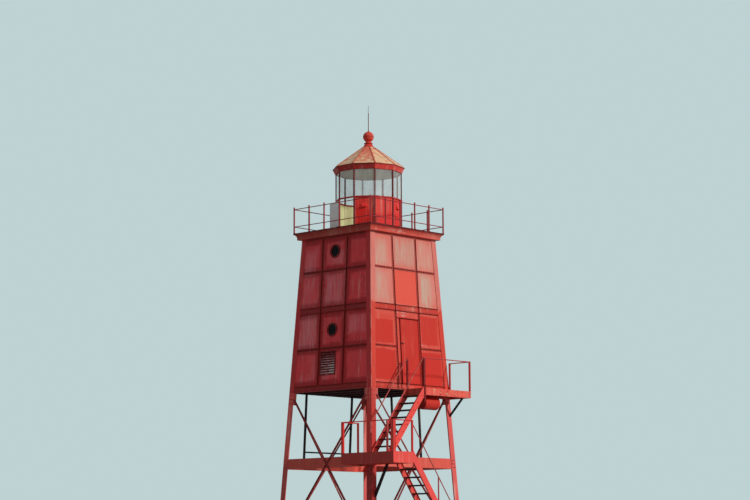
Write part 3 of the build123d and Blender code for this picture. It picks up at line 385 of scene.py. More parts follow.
class Coat(Nodes):
    """One material."""

    def __init__(self, name, roughness=0.62, specular=0.16):
        self.material = bpy.data.materials.new(name)
        super().__init__(self.material)
        self.shader = self.tree.nodes["Principled BSDF"]
        self.put(roughness, self.shader.inputs["Roughness"])
        self.put(specular, self.shader.inputs["Specular IOR Level"])
        self.place = self.node("TexCoord", (), "Object")
        self.x, self.y, self.z = (self.node("SeparateXYZ", (self.place,), axis) for axis in range(3))

    def noise(self, scale, stretch=(1, 1, 1), shift=0.0, detail=4.0, rough=0.6):
        """Noise from 0 to 1 over the object's place, stretched where its factors are small."""
        moved = self.node("VectorMath", (self.place, stretch, (shift, shift * 1.7, -shift)),
                          operation="MULTIPLY_ADD")
        settings = {"Vector": moved, "Scale": scale, "Detail": detail, "Roughness": rough}
        return self.node("TexNoise", settings, "Fac")

    def chance(self, first, second, third):
        """Even random number for a triple of whole numbers."""
        return self.node("TexWhiteNoise", {"Vector": self.node("CombineXYZ", (first, second, third))}, "Value")

    def mix(self, share, first, second):
        """Colour between two others, each a value or three display values."""
        first, second = (colour if isinstance(colour, Value) else linear(colour) for colour in (first, second))
        return self.node("Mix", {0: share, 6: first, 7: second}, 2, data_type="RGBA")

    def shade(self, colour, factor):
        """Colour made brighter or darker by a factor."""
        colour = colour if isinstance(colour, Value) else linear(colour)
        return self.node("HueSaturation", {"Value": factor, "Color": colour})

    def rough(self, share, smooth, coarse):
        """Roughness between two values."""
        self.put(share * (coarse - smooth) + smooth, self.shader.inputs["Roughness"])

    def bump(self, height, distance):
        """Relief from a height of 0 to 1."""
        self.put(self.node("Bump", {"Distance": distance, "Height": height}), self.shader.inputs["Normal"])

    def facing(self, direction):
        """Product of the surface's normal and a direction, which may be a value."""
        normal = self.node("NewGeometry", (), "True Normal")
        return self.node("VectorMath", (normal, direction), "Value", operation="DOT_PRODUCT")

    def lee(self):
        """Share that is 1 on faces towards -X or +Y, away from the sun."""
        return most(self.facing((-1, 0, 0)), self.facing((0, 1, 0))).step(0.5, 0.8)

    def proud(self, outermost):
        """How far a distance from the tower's middle plane lies outside its leaning faces."""
        return self.z * side_slope + (outermost - base_half_width)

    def patch(self, along, place, ragged, edge, wander):
        """Ragged rectangular patch on a face, from its middle and half its size, each along and up."""
        middle, height, wide, tall = place
        outward = most(abs(along - middle) / wide, abs(self.z - height) / tall)
        return (ragged * wander + (outward - wander / 2)).step(1.0 + edge, 1.0 - edge)

    def weather(self, colour, faded, fade, streaks, chips, rust, seed, mottle=0.36, peel=PRIMER):
        """Weather a coat of paint: fading, runs, mottling, chips, rust and relief. Gives the colour."""
        broad = self.noise(0.55, shift=seed + 3.1, detail=3.0)
        run = self.noise(1.0, (8.0, 8.0, 0.45), seed, 5.0, 0.62)
        thread = self.noise(1.6, (26.0, 26.0, 0.5), seed + 15.0, 4.0, 0.6)
        dark_run = self.noise(1.3, (12.0, 12.0, 0.4), seed + 21.0, 5.0, 0.6)
        blotch = self.noise(3.4, (1, 1, 0.6), seed + 7.7, 6.0, 0.68)
        fine = self.noise(34.0, shift=seed, detail=3.0)
        flakes = self.noise(7.5, (1, 1, 0.75), seed + 11.0, 9.0, 0.72)
        spots = self.noise(5.0, (1, 1, 0.7), seed + 31.0, 8.0, 0.7)
        share = (broad * 0.6 + run * 0.4).step(0.62 - 0.3 * fade, 0.86 - 0.42 * fade)
        bare = flakes.step(0.72 - 0.12 * chips, 0.735 - 0.12 * chips)
        rusty = spots.step(0.74 - 0.14 * rust, 0.80 - 0.14 * rust)
        base = self.mix(share, colour, faded)
        base = base.under(CHALK, run.step(0.56, 0.74) * streaks)
        base = base.under(CHALK, thread.step(0.60, 0.76) * (streaks * 0.8))
        base = base.under(GRIME_AND_SHADE, dark_run.step(0.57, 0.75) * (streaks * 0.9))
        base = base.shade(fine * 0.22 + (blotch * mottle + (0.89 - mottle / 2)))
        base = base.under(peel, bare * 0.85)
        base = base.under(RUST, rusty * 0.8)
        self.rough(most(share, rusty), 0.52, 0.85)
        self.bump(fine * 0.25 + (blotch * 0.5 - bare), 0.004)
        return base

    def done(self, base):
        """Set the base colour, and give the material."""
        self.put(base, self.shader.inputs["Base Color"])
        return self.material


def paint(name, colour, faded, *wear, lee=1.0, **more):
    """Weathered paint of one colour, with painted shade: darker by a factor on faces towards -X, away from the
    sun.
    """
    coat = Coat(name)
    base = coat.weather(colour, faded, *wear, **more)
    # Painted shade: faces towards -X darkened by the factor
    if lee != 1.0:
        base = base.shade(coat.facing((-1, 0, 0)).step(0.5, 0.8) * (lee - 1.0) + 1.0)
    return coat.done(base)


# Marks on the walls by pattern: middle along the face and up, half size along and up, colour and strength
WALL_MARKS = {
    "front": {
        "streaks": (
            (-1.06, 9.12, 0.26, 0.42, GREY_BEIGE, 0.75), (0.02, 9.28, 0.42, 0.40, GREY_BEIGE, 0.65),
            (0.92, 9.25, 0.34, 0.42, GREY_BEIGE, 0.55), (0.90, 8.10, 0.24, 0.50, GREY_BEIGE, 0.95),
            (-1.10, 8.10, 0.30, 0.46, GREY_BEIGE, 0.55)),
        "flakes": ((-0.22, 7.31, 0.24, 0.07, WHITE_PEEL, 0.5), (0.62, 6.44, 0.16, 0.06, WHITE_PEEL, 0.4)),
        "plain": (
            (0.00, 8.15, 0.50, 0.54, ORANGE_RED, 0.95), (-1.08, 6.74, 0.42, 0.36, FRESH_RED, 0.85),
            (-1.08, 5.74, 0.48, 0.46, FRESH_RED, 0.90), (0.98, 6.88, 0.38, 0.44, FRESH_RED, 0.80),
            (1.00, 5.68, 0.44, 0.52, FRESH_RED, 0.90)),
    },
    "left": {
        "streaks": (
            (-1.10, 8.98, 0.30, 0.40, PALE_PINK, 0.50), (0.02, 8.14, 0.38, 0.46, PALE_PINK, 0.60),
            (-1.12, 6.84, 0.34, 0.50, PALE_PINK, 0.60), (1.06, 6.98, 0.38, 0.26, PALE_PINK, 0.45),
            (-1.12, 8.05, 0.28, 0.40, PALE_PINK, 0.30), (0.02, 9.12, 0.40, 0.20, PALE_PINK, 0.25)),
        "flakes": (
            (1.30, 8.20, 0.14, 0.48, DARK_BLOTCH, 0.7), (1.06, 6.52, 0.44, 0.14, DARK_BLOTCH, 0.7),
            (-0.30, 5.60, 0.14, 0.40, DARK_BLOTCH, 0.4)),
        "plain": (),
    },
    "right": {
        "streaks": ((-0.95, 8.20, 0.30, 0.46, GREY_BEIGE, 0.7), (0.15, 9.20, 0.36, 0.40, GREY_BEIGE, 0.6)),
        "flakes": (),
        "plain": (
            (0.98, 8.15, 0.36, 0.50, ORANGE_RED, 0.8), (-1.08, 5.70, 0.44, 0.44, FRESH_RED, 0.9),
            (0.02, 5.72, 0.42, 0.44, FRESH_RED, 0.85), (1.04, 6.84, 0.36, 0.40, FRESH_RED, 0.85)),
    },
    "back": {
        "streaks": (
            (-0.90, 9.10, 0.30, 0.40, PALE_PINK, 0.50), (0.20, 8.10, 0.40, 0.42, PALE_PINK, 0.45),
            (1.05, 6.70, 0.28, 0.50, PALE_PINK, 0.55)),
        "flakes": ((0.10, 5.72, 0.40, 0.34, DARK_BLOTCH, 0.5),),
        "plain": (),
    },
}
WALL_SEEDS = {"front": 2.0, "right": 14.0, "back": 27.0, "left": 41.0}
drip_length = 0.55


def wall_paint(side):
    """Paint of one wall: its panels differ in tone, and the upper storey is bleached on the sunny sides."""
    coat = Coat("paint_wall_" + side)
    sunny = side in ("front", "right")
    seed = WALL_SEEDS[side]
    along = (coat.y if side in ("left", "right") else coat.x) * (-1.0 if side in ("left", "back") else 1.0)
    if sunny:
        base = coat.weather((226, 76, 60), (230, 94, 78), 0.45, 0.12, 0.1, 0.12, seed, mottle=0.3)
    else:
        base = coat.weather((236, 70, 74), (240, 110, 112), 0.45, 0.35, 0.1, 0.12, seed, mottle=0.6)
    upper = coat.z.step(belt_high - 0.01, belt_high + 0.01)
    ragged = coat.noise(3.2, (1, 1, 0.6), seed + 5.0, 7.0, 0.66)
    streak = coat.noise(1.2, (13.0, 13.0, 0.55), seed + 33.0, 7.0, 0.7)
    flake = coat.noise(13.0, (0.7, 0.7, 1.3), seed + 61.0, 8.0, 0.7)
    drip = coat.noise(1.1, (20.0, 20.0, 0.3), seed + 47.0, 5.0, 0.6).step(0.50, 0.75)
    if sunny:
        base = base.under(SALMON, upper * (ragged.step(0.35, 0.65) * 0.30 + 0.62))
    column = (along > -strap_place) + (along > strap_place)
    row = (coat.z > lower_seam) + ((coat.z > belt_low) + (coat.z > upper_seam))
    base = base.shade(coat.chance(column, row, seed) * 0.12 + 0.94)
    levels = (band_top, lower_seam, belt_low, belt_high, upper_seam, top_band)
    edge = least(along.nearest((-strap_place, strap_place)), coat.z.nearest(levels))
    border = (coat.noise(2.4, shift=seed, detail=5.0) * -0.14 + edge).step(0.14, 0.02)
    base = base.under((238, 108, 92) if sunny else (170, 30, 34), border * (0.35 if sunny else 0.75))
    for pattern, cover in (("streaks", streak.step(0.28, 0.68)), ("flakes", flake.step(0.50, 0.62))):
        for *place, colour, share in WALL_MARKS[side][pattern]:
            base = base.under(colour, coat.patch(along, place, ragged, 0.45, 1.5) * cover * share)
    if sunny:
        base = base.under(GREY_BEIGE, streak.step(0.50, 0.78) * upper * 0.5)
        base = base.under((234, 116, 106), streak.step(0.48, 0.30) * upper * 0.4)
    for level in (top_band, upper_seam, belt_low, lower_seam):
        below = coat.z.step(level - drip_length, level) * coat.z.step(level + 0.02, level)
        base = base.under(GRIME_AND_SHADE, drip * below * (0.22 if sunny else 0.45))
    for *place, colour, share in WALL_MARKS[side]["plain"]:
        inside = coat.patch(along, place, ragged, 0.07, 0.4)
        base = base.under(coat.shade(colour, flake * 0.16 + 0.92), inside * share)
    return coat.done(base)


def leg_paint(name, colour, faded, *wear):
    """Paint of a leg: one red below the body, and the colours of the walls beside them."""
    coat = Coat(name)
    beside = coat.z.step(body_bottom - 0.02, body_bottom + 0.02)
    upper = (coat.noise(4.0, detail=6.0) * 0.4 + coat.z).step(belt_high + 0.08, belt_high + 0.30)
    shaded = coat.lee()
    wall_red = coat.mix(upper, (226, 74, 58), (232, 128, 114)).under((206, 58, 60), shaded)
    # Painted shade: below the girders, faces away from the sun are darkened towards a dark red-brown
    low = coat.z.step(girder_high + 0.2, girder_low)
    open_red_and_shade = coat.mix(low * shaded * 0.38, colour, GRIME_AND_SHADE)
    base = coat.weather(open_red_and_shade.under(wall_red, beside), coat.mix(beside, faded, wall_red), *wear)
    # Pale line along the outer corners of the legs beside the walls: worn paint and a painted highlight
    corner_breaks = coat.noise(6.0, (1, 1, 0.4), 3.0, 7.0, 0.7).step(0.36, 0.52)
    wear_and_highlight = coat.proud(least(abs(coat.x), abs(coat.y))).step(-0.022, -0.012) * (corner_breaks * beside)
    return coat.done(base.under((244, 152, 142), wear_and_highlight * 0.75))


def strap_paint():
    """Paint of the straps: like the walls, but deep red as painted shade on faces away from the sun, with the
    ribs that stand out of them in deep red, painted lighter on faces away from the sun.
    """
    coat = Coat("paint_straps")
    base = coat.weather((216, 66, 52), (224, 104, 88), 0.5, 0.2, 0.6, 0.3, 55.0, mottle=0.5,
                        peel=(236, 156, 140))
    base = base.under((222, 116, 104), coat.z.step(belt_high, belt_high + 0.03) * 0.6)
    shaded = coat.lee()
    # Painted shade: straps deep red on faces away from the sun
    base = base.under(coat.shade((146, 35, 38), coat.noise(5.0, detail=7.0) * 0.6 + 0.7), shaded * 0.85)
    rib = coat.proud(most(abs(coat.x), abs(coat.y))).step(-0.003, 0.0)
    # Ribs deep red, with painted light: lighter on faces away from the sun
    return coat.done(base.under(coat.mix(shaded, (88, 12, 12), (150, 28, 30)), rib))


def lined_paint(name, colour, faded, *wear, **more):
    """Saturated red paint outside and cream inside, up to the lantern's sill."""
    coat = Coat(name, roughness=0.5)
    outside = coat.weather(colour, faded, *wear, **more)
    inside = coat.facing(coat.place).step(-0.05, -0.25) * (coat.z < parapet_top)
    cream = coat.shade(CREAM, coat.noise(4.0, (1, 1, 0.4), detail=6.0) * 0.3 + 0.85)
    return coat.done(outside.under(cream, inside))


def cove_paint():
    """Paint of the cove: flaking to white in places on the sunny front, with painted shade on faces towards -X.
    """
    coat = Coat("paint_cove")
    base = coat.weather((216, 82, 68), (226, 118, 102), 0.45, 0.3, 0.3, 0.3, 111.0, mottle=0.5, peel=WHITE_PEEL)
    # Painted shade: 30% darker on faces towards -X
    base = base.shade(coat.facing((-1, 0, 0)).step(0.3, 0.6) * -0.3 + 1.0)
    ragged = coat.noise(11.0, (0.6, 0.6, 1.6), 4.0, 8.0, 0.7)
    front = coat.y < abs(coat.x) * -1.0
    for place in ((-0.30, 9.885, 0.50, 0.05), (0.95, 9.90, 0.40, 0.03)):
        inside = coat.patch(coat.x, place, ragged, 0.6, 1.0) * front
        base = base.under((232, 184, 166), inside * ragged.step(0.48, 0.62) * 0.6)
    return coat.done(base)


def louvre_paint():
    """Paint of the louvre: a dark red rim and pink slats, flaked to white on the lower ones, with painted
    shadow left dark red in a band between the slats.
    """
    coat = Coat("paint_louvre")
    base = coat.weather((120, 26, 28), (142, 50, 50), 0.4, 0.3, 0.3, 0.4, 105.0)
    pitch = (louvre_high - louvre_low) / louvre_slats
    place = (coat.z - louvre_low) / pitch
    along = coat.y * -1.0
    inside = along.within(louvre_left, louvre_right, 0.004) * coat.z.within(louvre_low, louvre_high, 0.004)
    # Painted shadow: outside this band, at the foot and head of every slat's pitch, the paint stays dark red
    slat = inside * coat.calc("FRACT", place + 10.0).within(0.30, 0.78, 0.08)
    wear = coat.noise(6.0, (1, 1, 3.0), 2.0, 7.0, 0.7).step(0.30, 0.60) * place.step(8.2, 5.5)
    base = base.under((236, 176, 176), slat * wear * 0.85)
    corner = along.step(-0.22, 0.02) * place.step(5.4, 3.4)
    flakes = coat.noise(9.0, (1, 1, 1), 2.0, 8.0, 0.72)
    return coat.done(base.under(WHITE_PEEL, (corner * 0.24 + flakes).step(0.60, 0.70) * slat * 0.8))


def rail_ends_paint():
    """Paint of the rails on the upper landing: dark red at its door end and pink red at the other."""
    coat = Coat("paint_upper_rails")
    base = coat.weather((196, 70, 70), (212, 108, 102), 0.45, 0.2, 0.3, 0.4, 127.0)
    soiled = coat.x.step(0.0, -0.25) * (coat.z < rail_underside)
    return coat.done(base.under((122, 32, 32), soiled * 0.85))


def strut_paint():
    """Paint of the struts: near black, partly dark grime and partly painted shade, with a red bracket beside
    the near leg.
    """
    coat = Coat("paint_struts")
    # Near-black base: dark grime and painted shade
    base = coat.weather((44, 22, 24), (72, 42, 42), 0.4, 0.1, 0.25, 0.6, 175.0)
    return coat.done(base.under((206, 60, 54), (coat.x < bracket_place) * 0.9))


def roof_paint():
    """Paint of the roof: worn to a mottled tan, with red left in patches, near the crown and on the ridges."""
    coat = Coat("paint_roof", roughness=0.7)
    tan = coat.weather((250, 204, 156), (242, 194, 150), 0.5, 0.1, 0.4, 0.3, 71.0, mottle=0.7,
                       peel=(226, 216, 172))
    green = coat.noise(6.0, shift=4.0, detail=7.0, rough=0.7).step(0.48, 0.60)
    brown = coat.noise(8.0, shift=14.0, detail=7.0, rough=0.7).step(0.48, 0.60)
    tan = tan.under((216, 214, 176), green * 0.60).under((236, 128, 98), brown * 0.7)
    patches = coat.noise(7.0, (1, 1, 1.2), 9.0, 7.0, 0.72)
    facet = 2 * math.pi / lantern_sides
    half_facet = math.tan(facet / 2)
    toward = coat.x * -0.81 + coat.y * -0.59
    spread = abs(coat.x * -0.59 + coat.y * 0.81)
    near = (toward * half_facet - spread).step(-0.04, 0.06) * 0.16
    crown = coat.z.step(12.35, 12.62) * 0.12
    eave = coat.z.step(12.16, 12.11)
    red = (patches + (near + crown)).step(0.60, 0.70) * (eave * -0.7 + 0.75)
    beside = abs(coat.calc("FRACT", coat.calc("ARCTAN2", coat.y, coat.x) / facet + 20.0) - 0.5)
    gap = beside * coat.calc("SQRT", coat.x * coat.x + coat.y * coat.y) * facet
    ridge = (patches * -0.06 + gap).step(0.014, -0.014) * 0.8
    return coat.done(tan.under((236, 92, 72), red).under((206, 74, 58), ridge))


def dark_glass():
    """Glass of the portholes: opaque and near black, the painted shade of the room behind, with a film of dust.
    """
    coat = Coat("glass_portholes", roughness=0.12, specular=0.06)
    dust = coat.noise(6.0, detail=6.0).step(0.45, 0.75)
    coat.rough(dust, 0.10, 0.4)
    # Opaque near-black glass: painted shade of the room behind
    return coat.done(coat.mix(dust * 0.3, (5, 5, 6), (40, 34, 34)))


def clear_glass():
    """Clear panes of the lantern, clouded by salt that runs down them."""
    coat = Coat("glass_lantern", roughness=0.06, specular=0.5)
    salt = coat.noise(2.0, (2.0, 2.0, 0.8), detail=5.0).step(0.25, 0.80)
    coat.put(salt * 0.12 + 0.10, coat.shader.inputs["Alpha"])
    coat.rough(salt, 0.04, 0.3)
    return coat.done(coat.mix(salt, (226, 232, 228), (246, 244, 238)))


# Light
sun_from = (0.23, -0.88, 0.42)
sun_strength = 1.95
sun_softness = 0.10
fill_strength = 0.36
fill_colour = (234, 241, 248)
background_colour = (190, 210, 211)


def add_light():
    """Soft sun from the right of the camera, over an even fill from all round."""
    data = bpy.data.lights.new("sun", "SUN")
    data.energy = sun_strength
    data.angle = sun_softness
    sun = bpy.data.objects.new("sun", data)
    sun.rotation_euler = Vector(sun_from).to_track_quat("Z", "Y").to_euler()
    bpy.context.scene.collection.objects.link(sun)
    world = bpy.data.worlds.new("world")
    nodes = Nodes(world)
    camera, glossy, through = (nodes.node("LightPath", (), f"Is {kind} Ray")
                               for kind in ("Camera", "Glossy", "Transmission"))
    fill = nodes.node("Background", (linear(fill_colour), fill_strength))
    seen = nodes.node("Background", (linear(background_colour),))
    light = nodes.node("MixShader", (most(most(camera, glossy), through), fill, seen))
    nodes.put(light, nodes.tree.nodes["World Output"].inputs["Surface"])
    bpy.context.scene.world = world
    bpy.context.scene.view_settings.view_transform = "Standard"


# Floor
floor_reach = 150.0
floor_gap = 0.002


def add_floor():
    """Plain floor under the tower, which looks pale and bounces little light back up."""
    coat = Coat("studio_floor", roughness=0.9, specular=0.5)
    seen = coat.node("LightPath", (), "Is Camera Ray")
    material = coat.done(coat.mix(seen, (150, 152, 152), (226, 232, 232)))
    mesh = bpy.data.meshes.new("studio_floor")
    corners = [(-floor_reach, -floor_reach, 0), (floor_reach, -floor_reach, 0), (floor_reach, floor_reach, 0),
               (-floor_reach, floor_reach, 0)]
    mesh.from_pydata(corners, [], [(0, 1, 2, 3)])
    mesh.materials.append(material)
    floor = bpy.data.objects.new("studio_floor", mesh)
    floor.location.z = cad_low.z - floor_gap
    bpy.context.scene.collection.objects.link(floor)
    floor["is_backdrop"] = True


def dress(material, *names):
    """Give CAD nodes a material."""
    for name in names:
        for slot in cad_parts[name].material_slots:
            slot.material = material


add_camera()
add_light()
add_floor()

# Paints: colour and faded colour, then fade, streaks, chips, rust and seed, and the CAD nodes in them
PAINTS = {
    "paint_frame": ((206, 84, 76), (222, 126, 116), (0.5, 0.35, 0.35, 0.4, 1.0),
                    "base_plates", "gusset_plates"),
    "paint_legs": ((240, 100, 92), (250, 146, 136), (0.5, 0.35, 0.3, 0.35, 4.0),
                   "leg_front_right", "leg_back_left", "leg_back_right"),
    "paint_near_leg": ((212, 66, 58), (224, 92, 80), (0.4, 0.3, 0.3, 0.45, 7.0), "leg_front_left"),
    "paint_braces": ((156, 54, 52), (184, 92, 86), (0.5, 0.2, 0.3, 0.6, 12.0),
                     "front_braces", "right_braces", "back_braces", "left_braces"),
    "paint_girders": ((240, 98, 82), (246, 134, 112), (0.45, 0.3, 0.3, 0.75, 81.0), "girders"),
    "paint_door": ((212, 54, 42), (218, 74, 58), (0.4, 0.08, 0.2, 0.15, 91.0), "door_leaf"),
    "paint_door_frame": ((96, 18, 18), (124, 40, 38), (0.4, 0.2, 0.2, 0.4, 95.0), "door_frame"),
    "paint_dark_red": ((124, 24, 24), (152, 48, 46), (0.4, 0.3, 0.25, 0.4, 101.0),
                       "porthole_rings", "lightning_rod"),
    "paint_deck": ((104, 22, 22), (132, 46, 42), (0.4, 0.3, 0.35, 0.5, 115.0), "gallery_deck"),
    "paint_rails": ((172, 56, 58), (190, 96, 96), (0.45, 0.2, 0.3, 0.5, 121.0),
                    "front_railing", "right_railing", "back_railing", "left_railing"),
    "paint_handrails": ((196, 84, 78), (214, 120, 110), (0.5, 0.2, 0.3, 0.35, 125.0),
                        "upper_handrails", "lower_handrail"),
    "paint_lantern": ((196, 40, 34), (212, 78, 66), (0.4, 0.35, 0.25, 0.3, 131.0), "lantern_sill"),
    "paint_cornice": ((242, 72, 62), (248, 118, 106), (0.45, 0.35, 0.25, 0.3, 133.0), "lantern_cornice"),
    "paint_ball": ((222, 66, 54), (236, 116, 100), (0.55, 0.2, 0.25, 0.35, 135.0), "ball_ventilator"),
    "paint_stair": ((252, 88, 78), (252, 122, 108), (0.4, 0.3, 0.2, 0.35, 141.0),
                    "upper_stringers", "lower_landing", "lower_stringers"),
    "paint_upper_landing": ((244, 90, 76), (252, 146, 122), (0.5, 0.1, 1.1, 0.9, 143.0), "upper_landing"),
    "paint_stair_posts": ((224, 52, 44), (228, 86, 76), (0.35, 0.25, 0.25, 0.3, 145.0), "lower_rails"),
    "paint_treads": ((58, 32, 32), (88, 52, 50), (0.5, 0.1, 0.2, 0.8, 151.0), "upper_treads", "lower_treads"),
    "paint_drum": ((224, 58, 46), (232, 90, 74), (0.4, 0.35, 0.2, 0.3, 161.0), "drum_shell", "drum_ends"),
    "paint_inner": ((86, 48, 46), (112, 70, 66), (0.4, 0.2, 0.1, 0.6, 171.0),
                    "floor_frame", "lower_floor", "middle_floor"),
    "paint_ceiling": ((240, 244, 232), (250, 248, 236), (0.4, 0.1, 0.2, 0.1, 181.0), "lantern_ceiling"),
    "paint_white": ((246, 246, 238), (248, 244, 232), (0.4, 0.15, 0.1, 0.2, 191.0), "lantern_door"),
    "iron_handle": ((38, 34, 34), (66, 58, 56), (0.4, 0.1, 0.1, 0.5, 201.0), "door_handle"),
    "paint_parapet": ((244, 48, 42), (248, 108, 96), (0.55, 0.55, 0.1, 0.2, 61.0),
                      "parapet_panels", "parapet_vents"),
    "paint_lantern_posts": ((128, 50, 52), (160, 88, 86), (0.4, 0.2, 0.2, 0.3, 65.0), "lantern_posts"),
}
MAKERS = {"paint_legs": leg_paint, "paint_near_leg": leg_paint, "paint_parapet": lined_paint,
          "paint_lantern_posts": lined_paint}
# Further settings of some paints: factors of painted shade on faces towards -X, mottling and peel
FURTHER = {"paint_girders": {"lee": 0.72}, "paint_cornice": {"lee": 0.58}, "paint_stair": {"lee": 0.50},
           "paint_drum": {"lee": 0.5}, "paint_parapet": {"mottle": 0.7},
           "paint_upper_landing": {"lee": 0.55, "mottle": 0.8, "peel": (246, 208, 160)}}
COATS = {}
for name, (colour, faded, wear, *nodes) in PAINTS.items():
    COATS[name] = MAKERS.get(name, paint)(name, colour, faded, *wear, **FURTHER.get(name, {}))
    dress(COATS[name], *nodes)
dress(strut_paint(), "hanger_posts", "knee_brace")
dress(wall_paint("front"), "front_wall_left", "front_wall_right", "front_wall_over_door")
for side in ("left", "back", "right"):
    dress(wall_paint(side), side + "_wall")
dress(strap_paint(), "wall_straps")
dress(louvre_paint(), "louvre")
dress(dark_glass(), "porthole_glass")
dress(cove_paint(), "cove")
dress(rail_ends_paint(), "upper_rails")
dress(clear_glass(), "lantern_glass")
dress(roof_paint(), "roof")

# Rivets on the straps and on the legs beside the walls
rivet_pitch = 0.080
seam_row = 0.026
belt_row = 0.035
foot_row = 0.045
belt_gap = 0.030
seam_gap = 0.070
rib_clearance = rib_thickness / 2 + 0.016
leg_rivet_pitch = 0.105


def strap_places(turn):
    """Places in rows along every strap of a side, clear of the ribs and of the door."""
    heights = [seam + row for seam in (lower_seam, upper_seam) for row in (-seam_row, seam_row)]
    heights += [belt_low + belt_row, belt_high - belt_row, body_bottom + foot_row, band_top - belt_row,
                top_band + belt_row]
    places = []
    for height in heights:
        end = half_width(height) - leg_width - belt_gap
        for along in spaced(-end, end, rivet_pitch):
            on_rib = abs(abs(along) - strap_place) < rib_clearance
            over_door = turn == FRONT and abs(height - lower_seam) < 2 * seam_row and abs(along) < strap_place
            if not on_rib and not over_door:
                places.append((along, height))
    stretches = ((band_top + belt_gap, lower_seam - seam_gap), (lower_seam + seam_gap, belt_low - belt_gap),
                 (belt_high + belt_gap, upper_seam - seam_gap), (upper_seam + seam_gap, top_band - belt_gap))
    places += [(place + row, height) for place in (-strap_place, strap_place) for stretch in stretches
               for height in spaced(*stretch, rivet_pitch) for row in (-seam_row, seam_row)]
    return [on_face(turn, along, height, strap_depth) for along, height in places]


def flange_places(heights, insets):
    """Places on both legs of every side, at heights and at distances from the corners."""
    return [on_face(turn, sign * (half_width(height) - inset), height)
            for turn in SIDES.values() for height in heights for inset in insets for sign in (-1, 1)]


for side, turn in SIDES.items():
    fixings("rivets_" + side, "paint_dark_red", Shape.rivet, strap_places(turn), 0.014)
leg_rows = spaced(body_bottom + 0.05, cove_bottom - 0.03, leg_rivet_pitch)
fixings("leg_rivets", "paint_legs", Shape.rivet, flange_places(leg_rows, (0.050, 0.150)), 0.011)

# Bolts of the open frame: at the gussets and the girders
gusset_pitch = 0.125
girder_pitch = 0.105
frame_rows = (spaced(0.31, 0.53, gusset_pitch) + spaced(4.69, 4.95, gusset_pitch)
              + spaced(girder_low + 0.05, girder_high - 0.05, girder_pitch))
fixings("frame_bolts", "paint_frame", Shape.bolt, flange_places(frame_rows, (0.065, 0.140)), 0.021)

# Ends of the braces that are cut at the crossings, run on to the brace between, and the bolts of all braces
brace_width = 0.055
brace_thickness = 0.010
brace_rib = 0.025
brace_outer = 0.006
brace_inner = 0.016
brace_inset = 0.240
brace_low = 0.420
brace_high = 4.800
brace_cut = 0.090
end_bolts = (0.03, 0.10)
crossing_bolts = (0.065, 0.12)
low_reach = half_width(brace_low) - brace_inset
high_reach = half_width(brace_high) - brace_inset
brace_lean = (low_reach + high_reach) / (brace_high - brace_low)
brace_stretch = math.hypot(brace_lean, 1)
brace_crossing = brace_low + low_reach / brace_lean
brace_reach = brace_width * brace_stretch / 2


def brace_section(turn, start, lean):
    """Points round a rising brace's section, cut at a height over the crossing that falls with the offset."""
    rib = brace_thickness * brace_stretch - brace_reach
    outline = ((-brace_reach, brace_outer - brace_rib), (rib, brace_outer - brace_rib), (rib, brace_outer),
               (brace_reach, brace_outer), (brace_reach, brace_inner), (-brace_reach, brace_inner))
    rises = [start - offset * lean for offset, depth in outline]
    return [on_face(turn, rise * brace_lean + offset, brace_crossing + rise, depth).translation
            for rise, (offset, depth) in zip(rises, outline)]


brace_ends = Shape()
brace_places = []
caps = [(5, 2, 1, 0), (5, 4, 3, 2), (6, 7, 8, 11), (8, 9, 10, 11)]
walls = [(index, (index + 1) % 6, 6 + (index + 1) % 6, 6 + index) for index in range(6)]
bolt_heights = ([brace_low + gap for gap in end_bolts] + [brace_high - gap for gap in end_bolts]
                + [brace_crossing + sign * gap for gap in crossing_bolts for sign in (-1, 1)])
for turn, sign in ((turn, sign) for turn in SIDES.values() for sign in (-1, 1)):
    cut = brace_section(turn, sign * brace_cut, 0)
    meeting = brace_section(turn, sign * brace_reach / brace_lean / 2, 0.5 / brace_lean)
    brace_ends.add(meeting + cut if sign > 0 else cut + meeting, caps + walls)
    for height in bolt_heights:
        middle = sign * (height - brace_crossing) * brace_lean + brace_thickness * brace_stretch / 2
        brace_places.append(on_face(turn, middle, height, brace_outer))
brace_ends.finish("brace_ends", "paint_braces")
fixings("brace_bolts", "paint_braces", Shape.bolt, brace_places, 0.010)

# Anchor bolts, standing in the holes of the base plates: washer, nut and shank
plate_reach = 0.280
hole_reach = 0.200
plate_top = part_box("base_plates")[1].z
plate_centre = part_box("base_plates")[1].x - plate_reach
holes = [sign * plate_centre + side for sign in (-1, 1) for side in (-hole_reach, hole_reach)]
anchor_bolts = Shape()
for x, y in ((x, y) for x in holes for y in holes):
    place = Matrix.Translation((x, y, plate_top))
    anchor_bolts.turned([(0, 0), (0.032, 0), (0.032, 0.005), (0, 0.005)], 16, place)
    anchor_bolts.turned([(0, 0.004), (0.026, 0.004), (0.026, 0.026), (0.022, 0.030), (0, 0.030)], 6, place)
    anchor_bolts.turned([(0, 0.02), (0.0145, 0.02), (0.0145, 0.062), (0.0125, 0.066), (0, 0.066)], 12, place)
anchor_bolts.finish("anchor_bolts", "paint_frame")

# Bolts round the portholes
porthole_heights = (6.870, 9.300)
porthole_bolts = 10
porthole_circle = 0.189
ring_face = -0.004
angles = [2 * math.pi * (number + 0.5) / porthole_bolts for number in range(porthole_bolts)]
spots = [Matrix.Translation((porthole_circle * math.cos(angle), porthole_circle * math.sin(angle), 0))
         for angle in angles]
fixings("porthole_bolts", "paint_dark_red", Shape.bolt,
        [on_face(turn, 0, height, ring_face) @ spot
         for turn in (LEFT, RIGHT) for height in porthole_heights for spot in spots], 0.011)

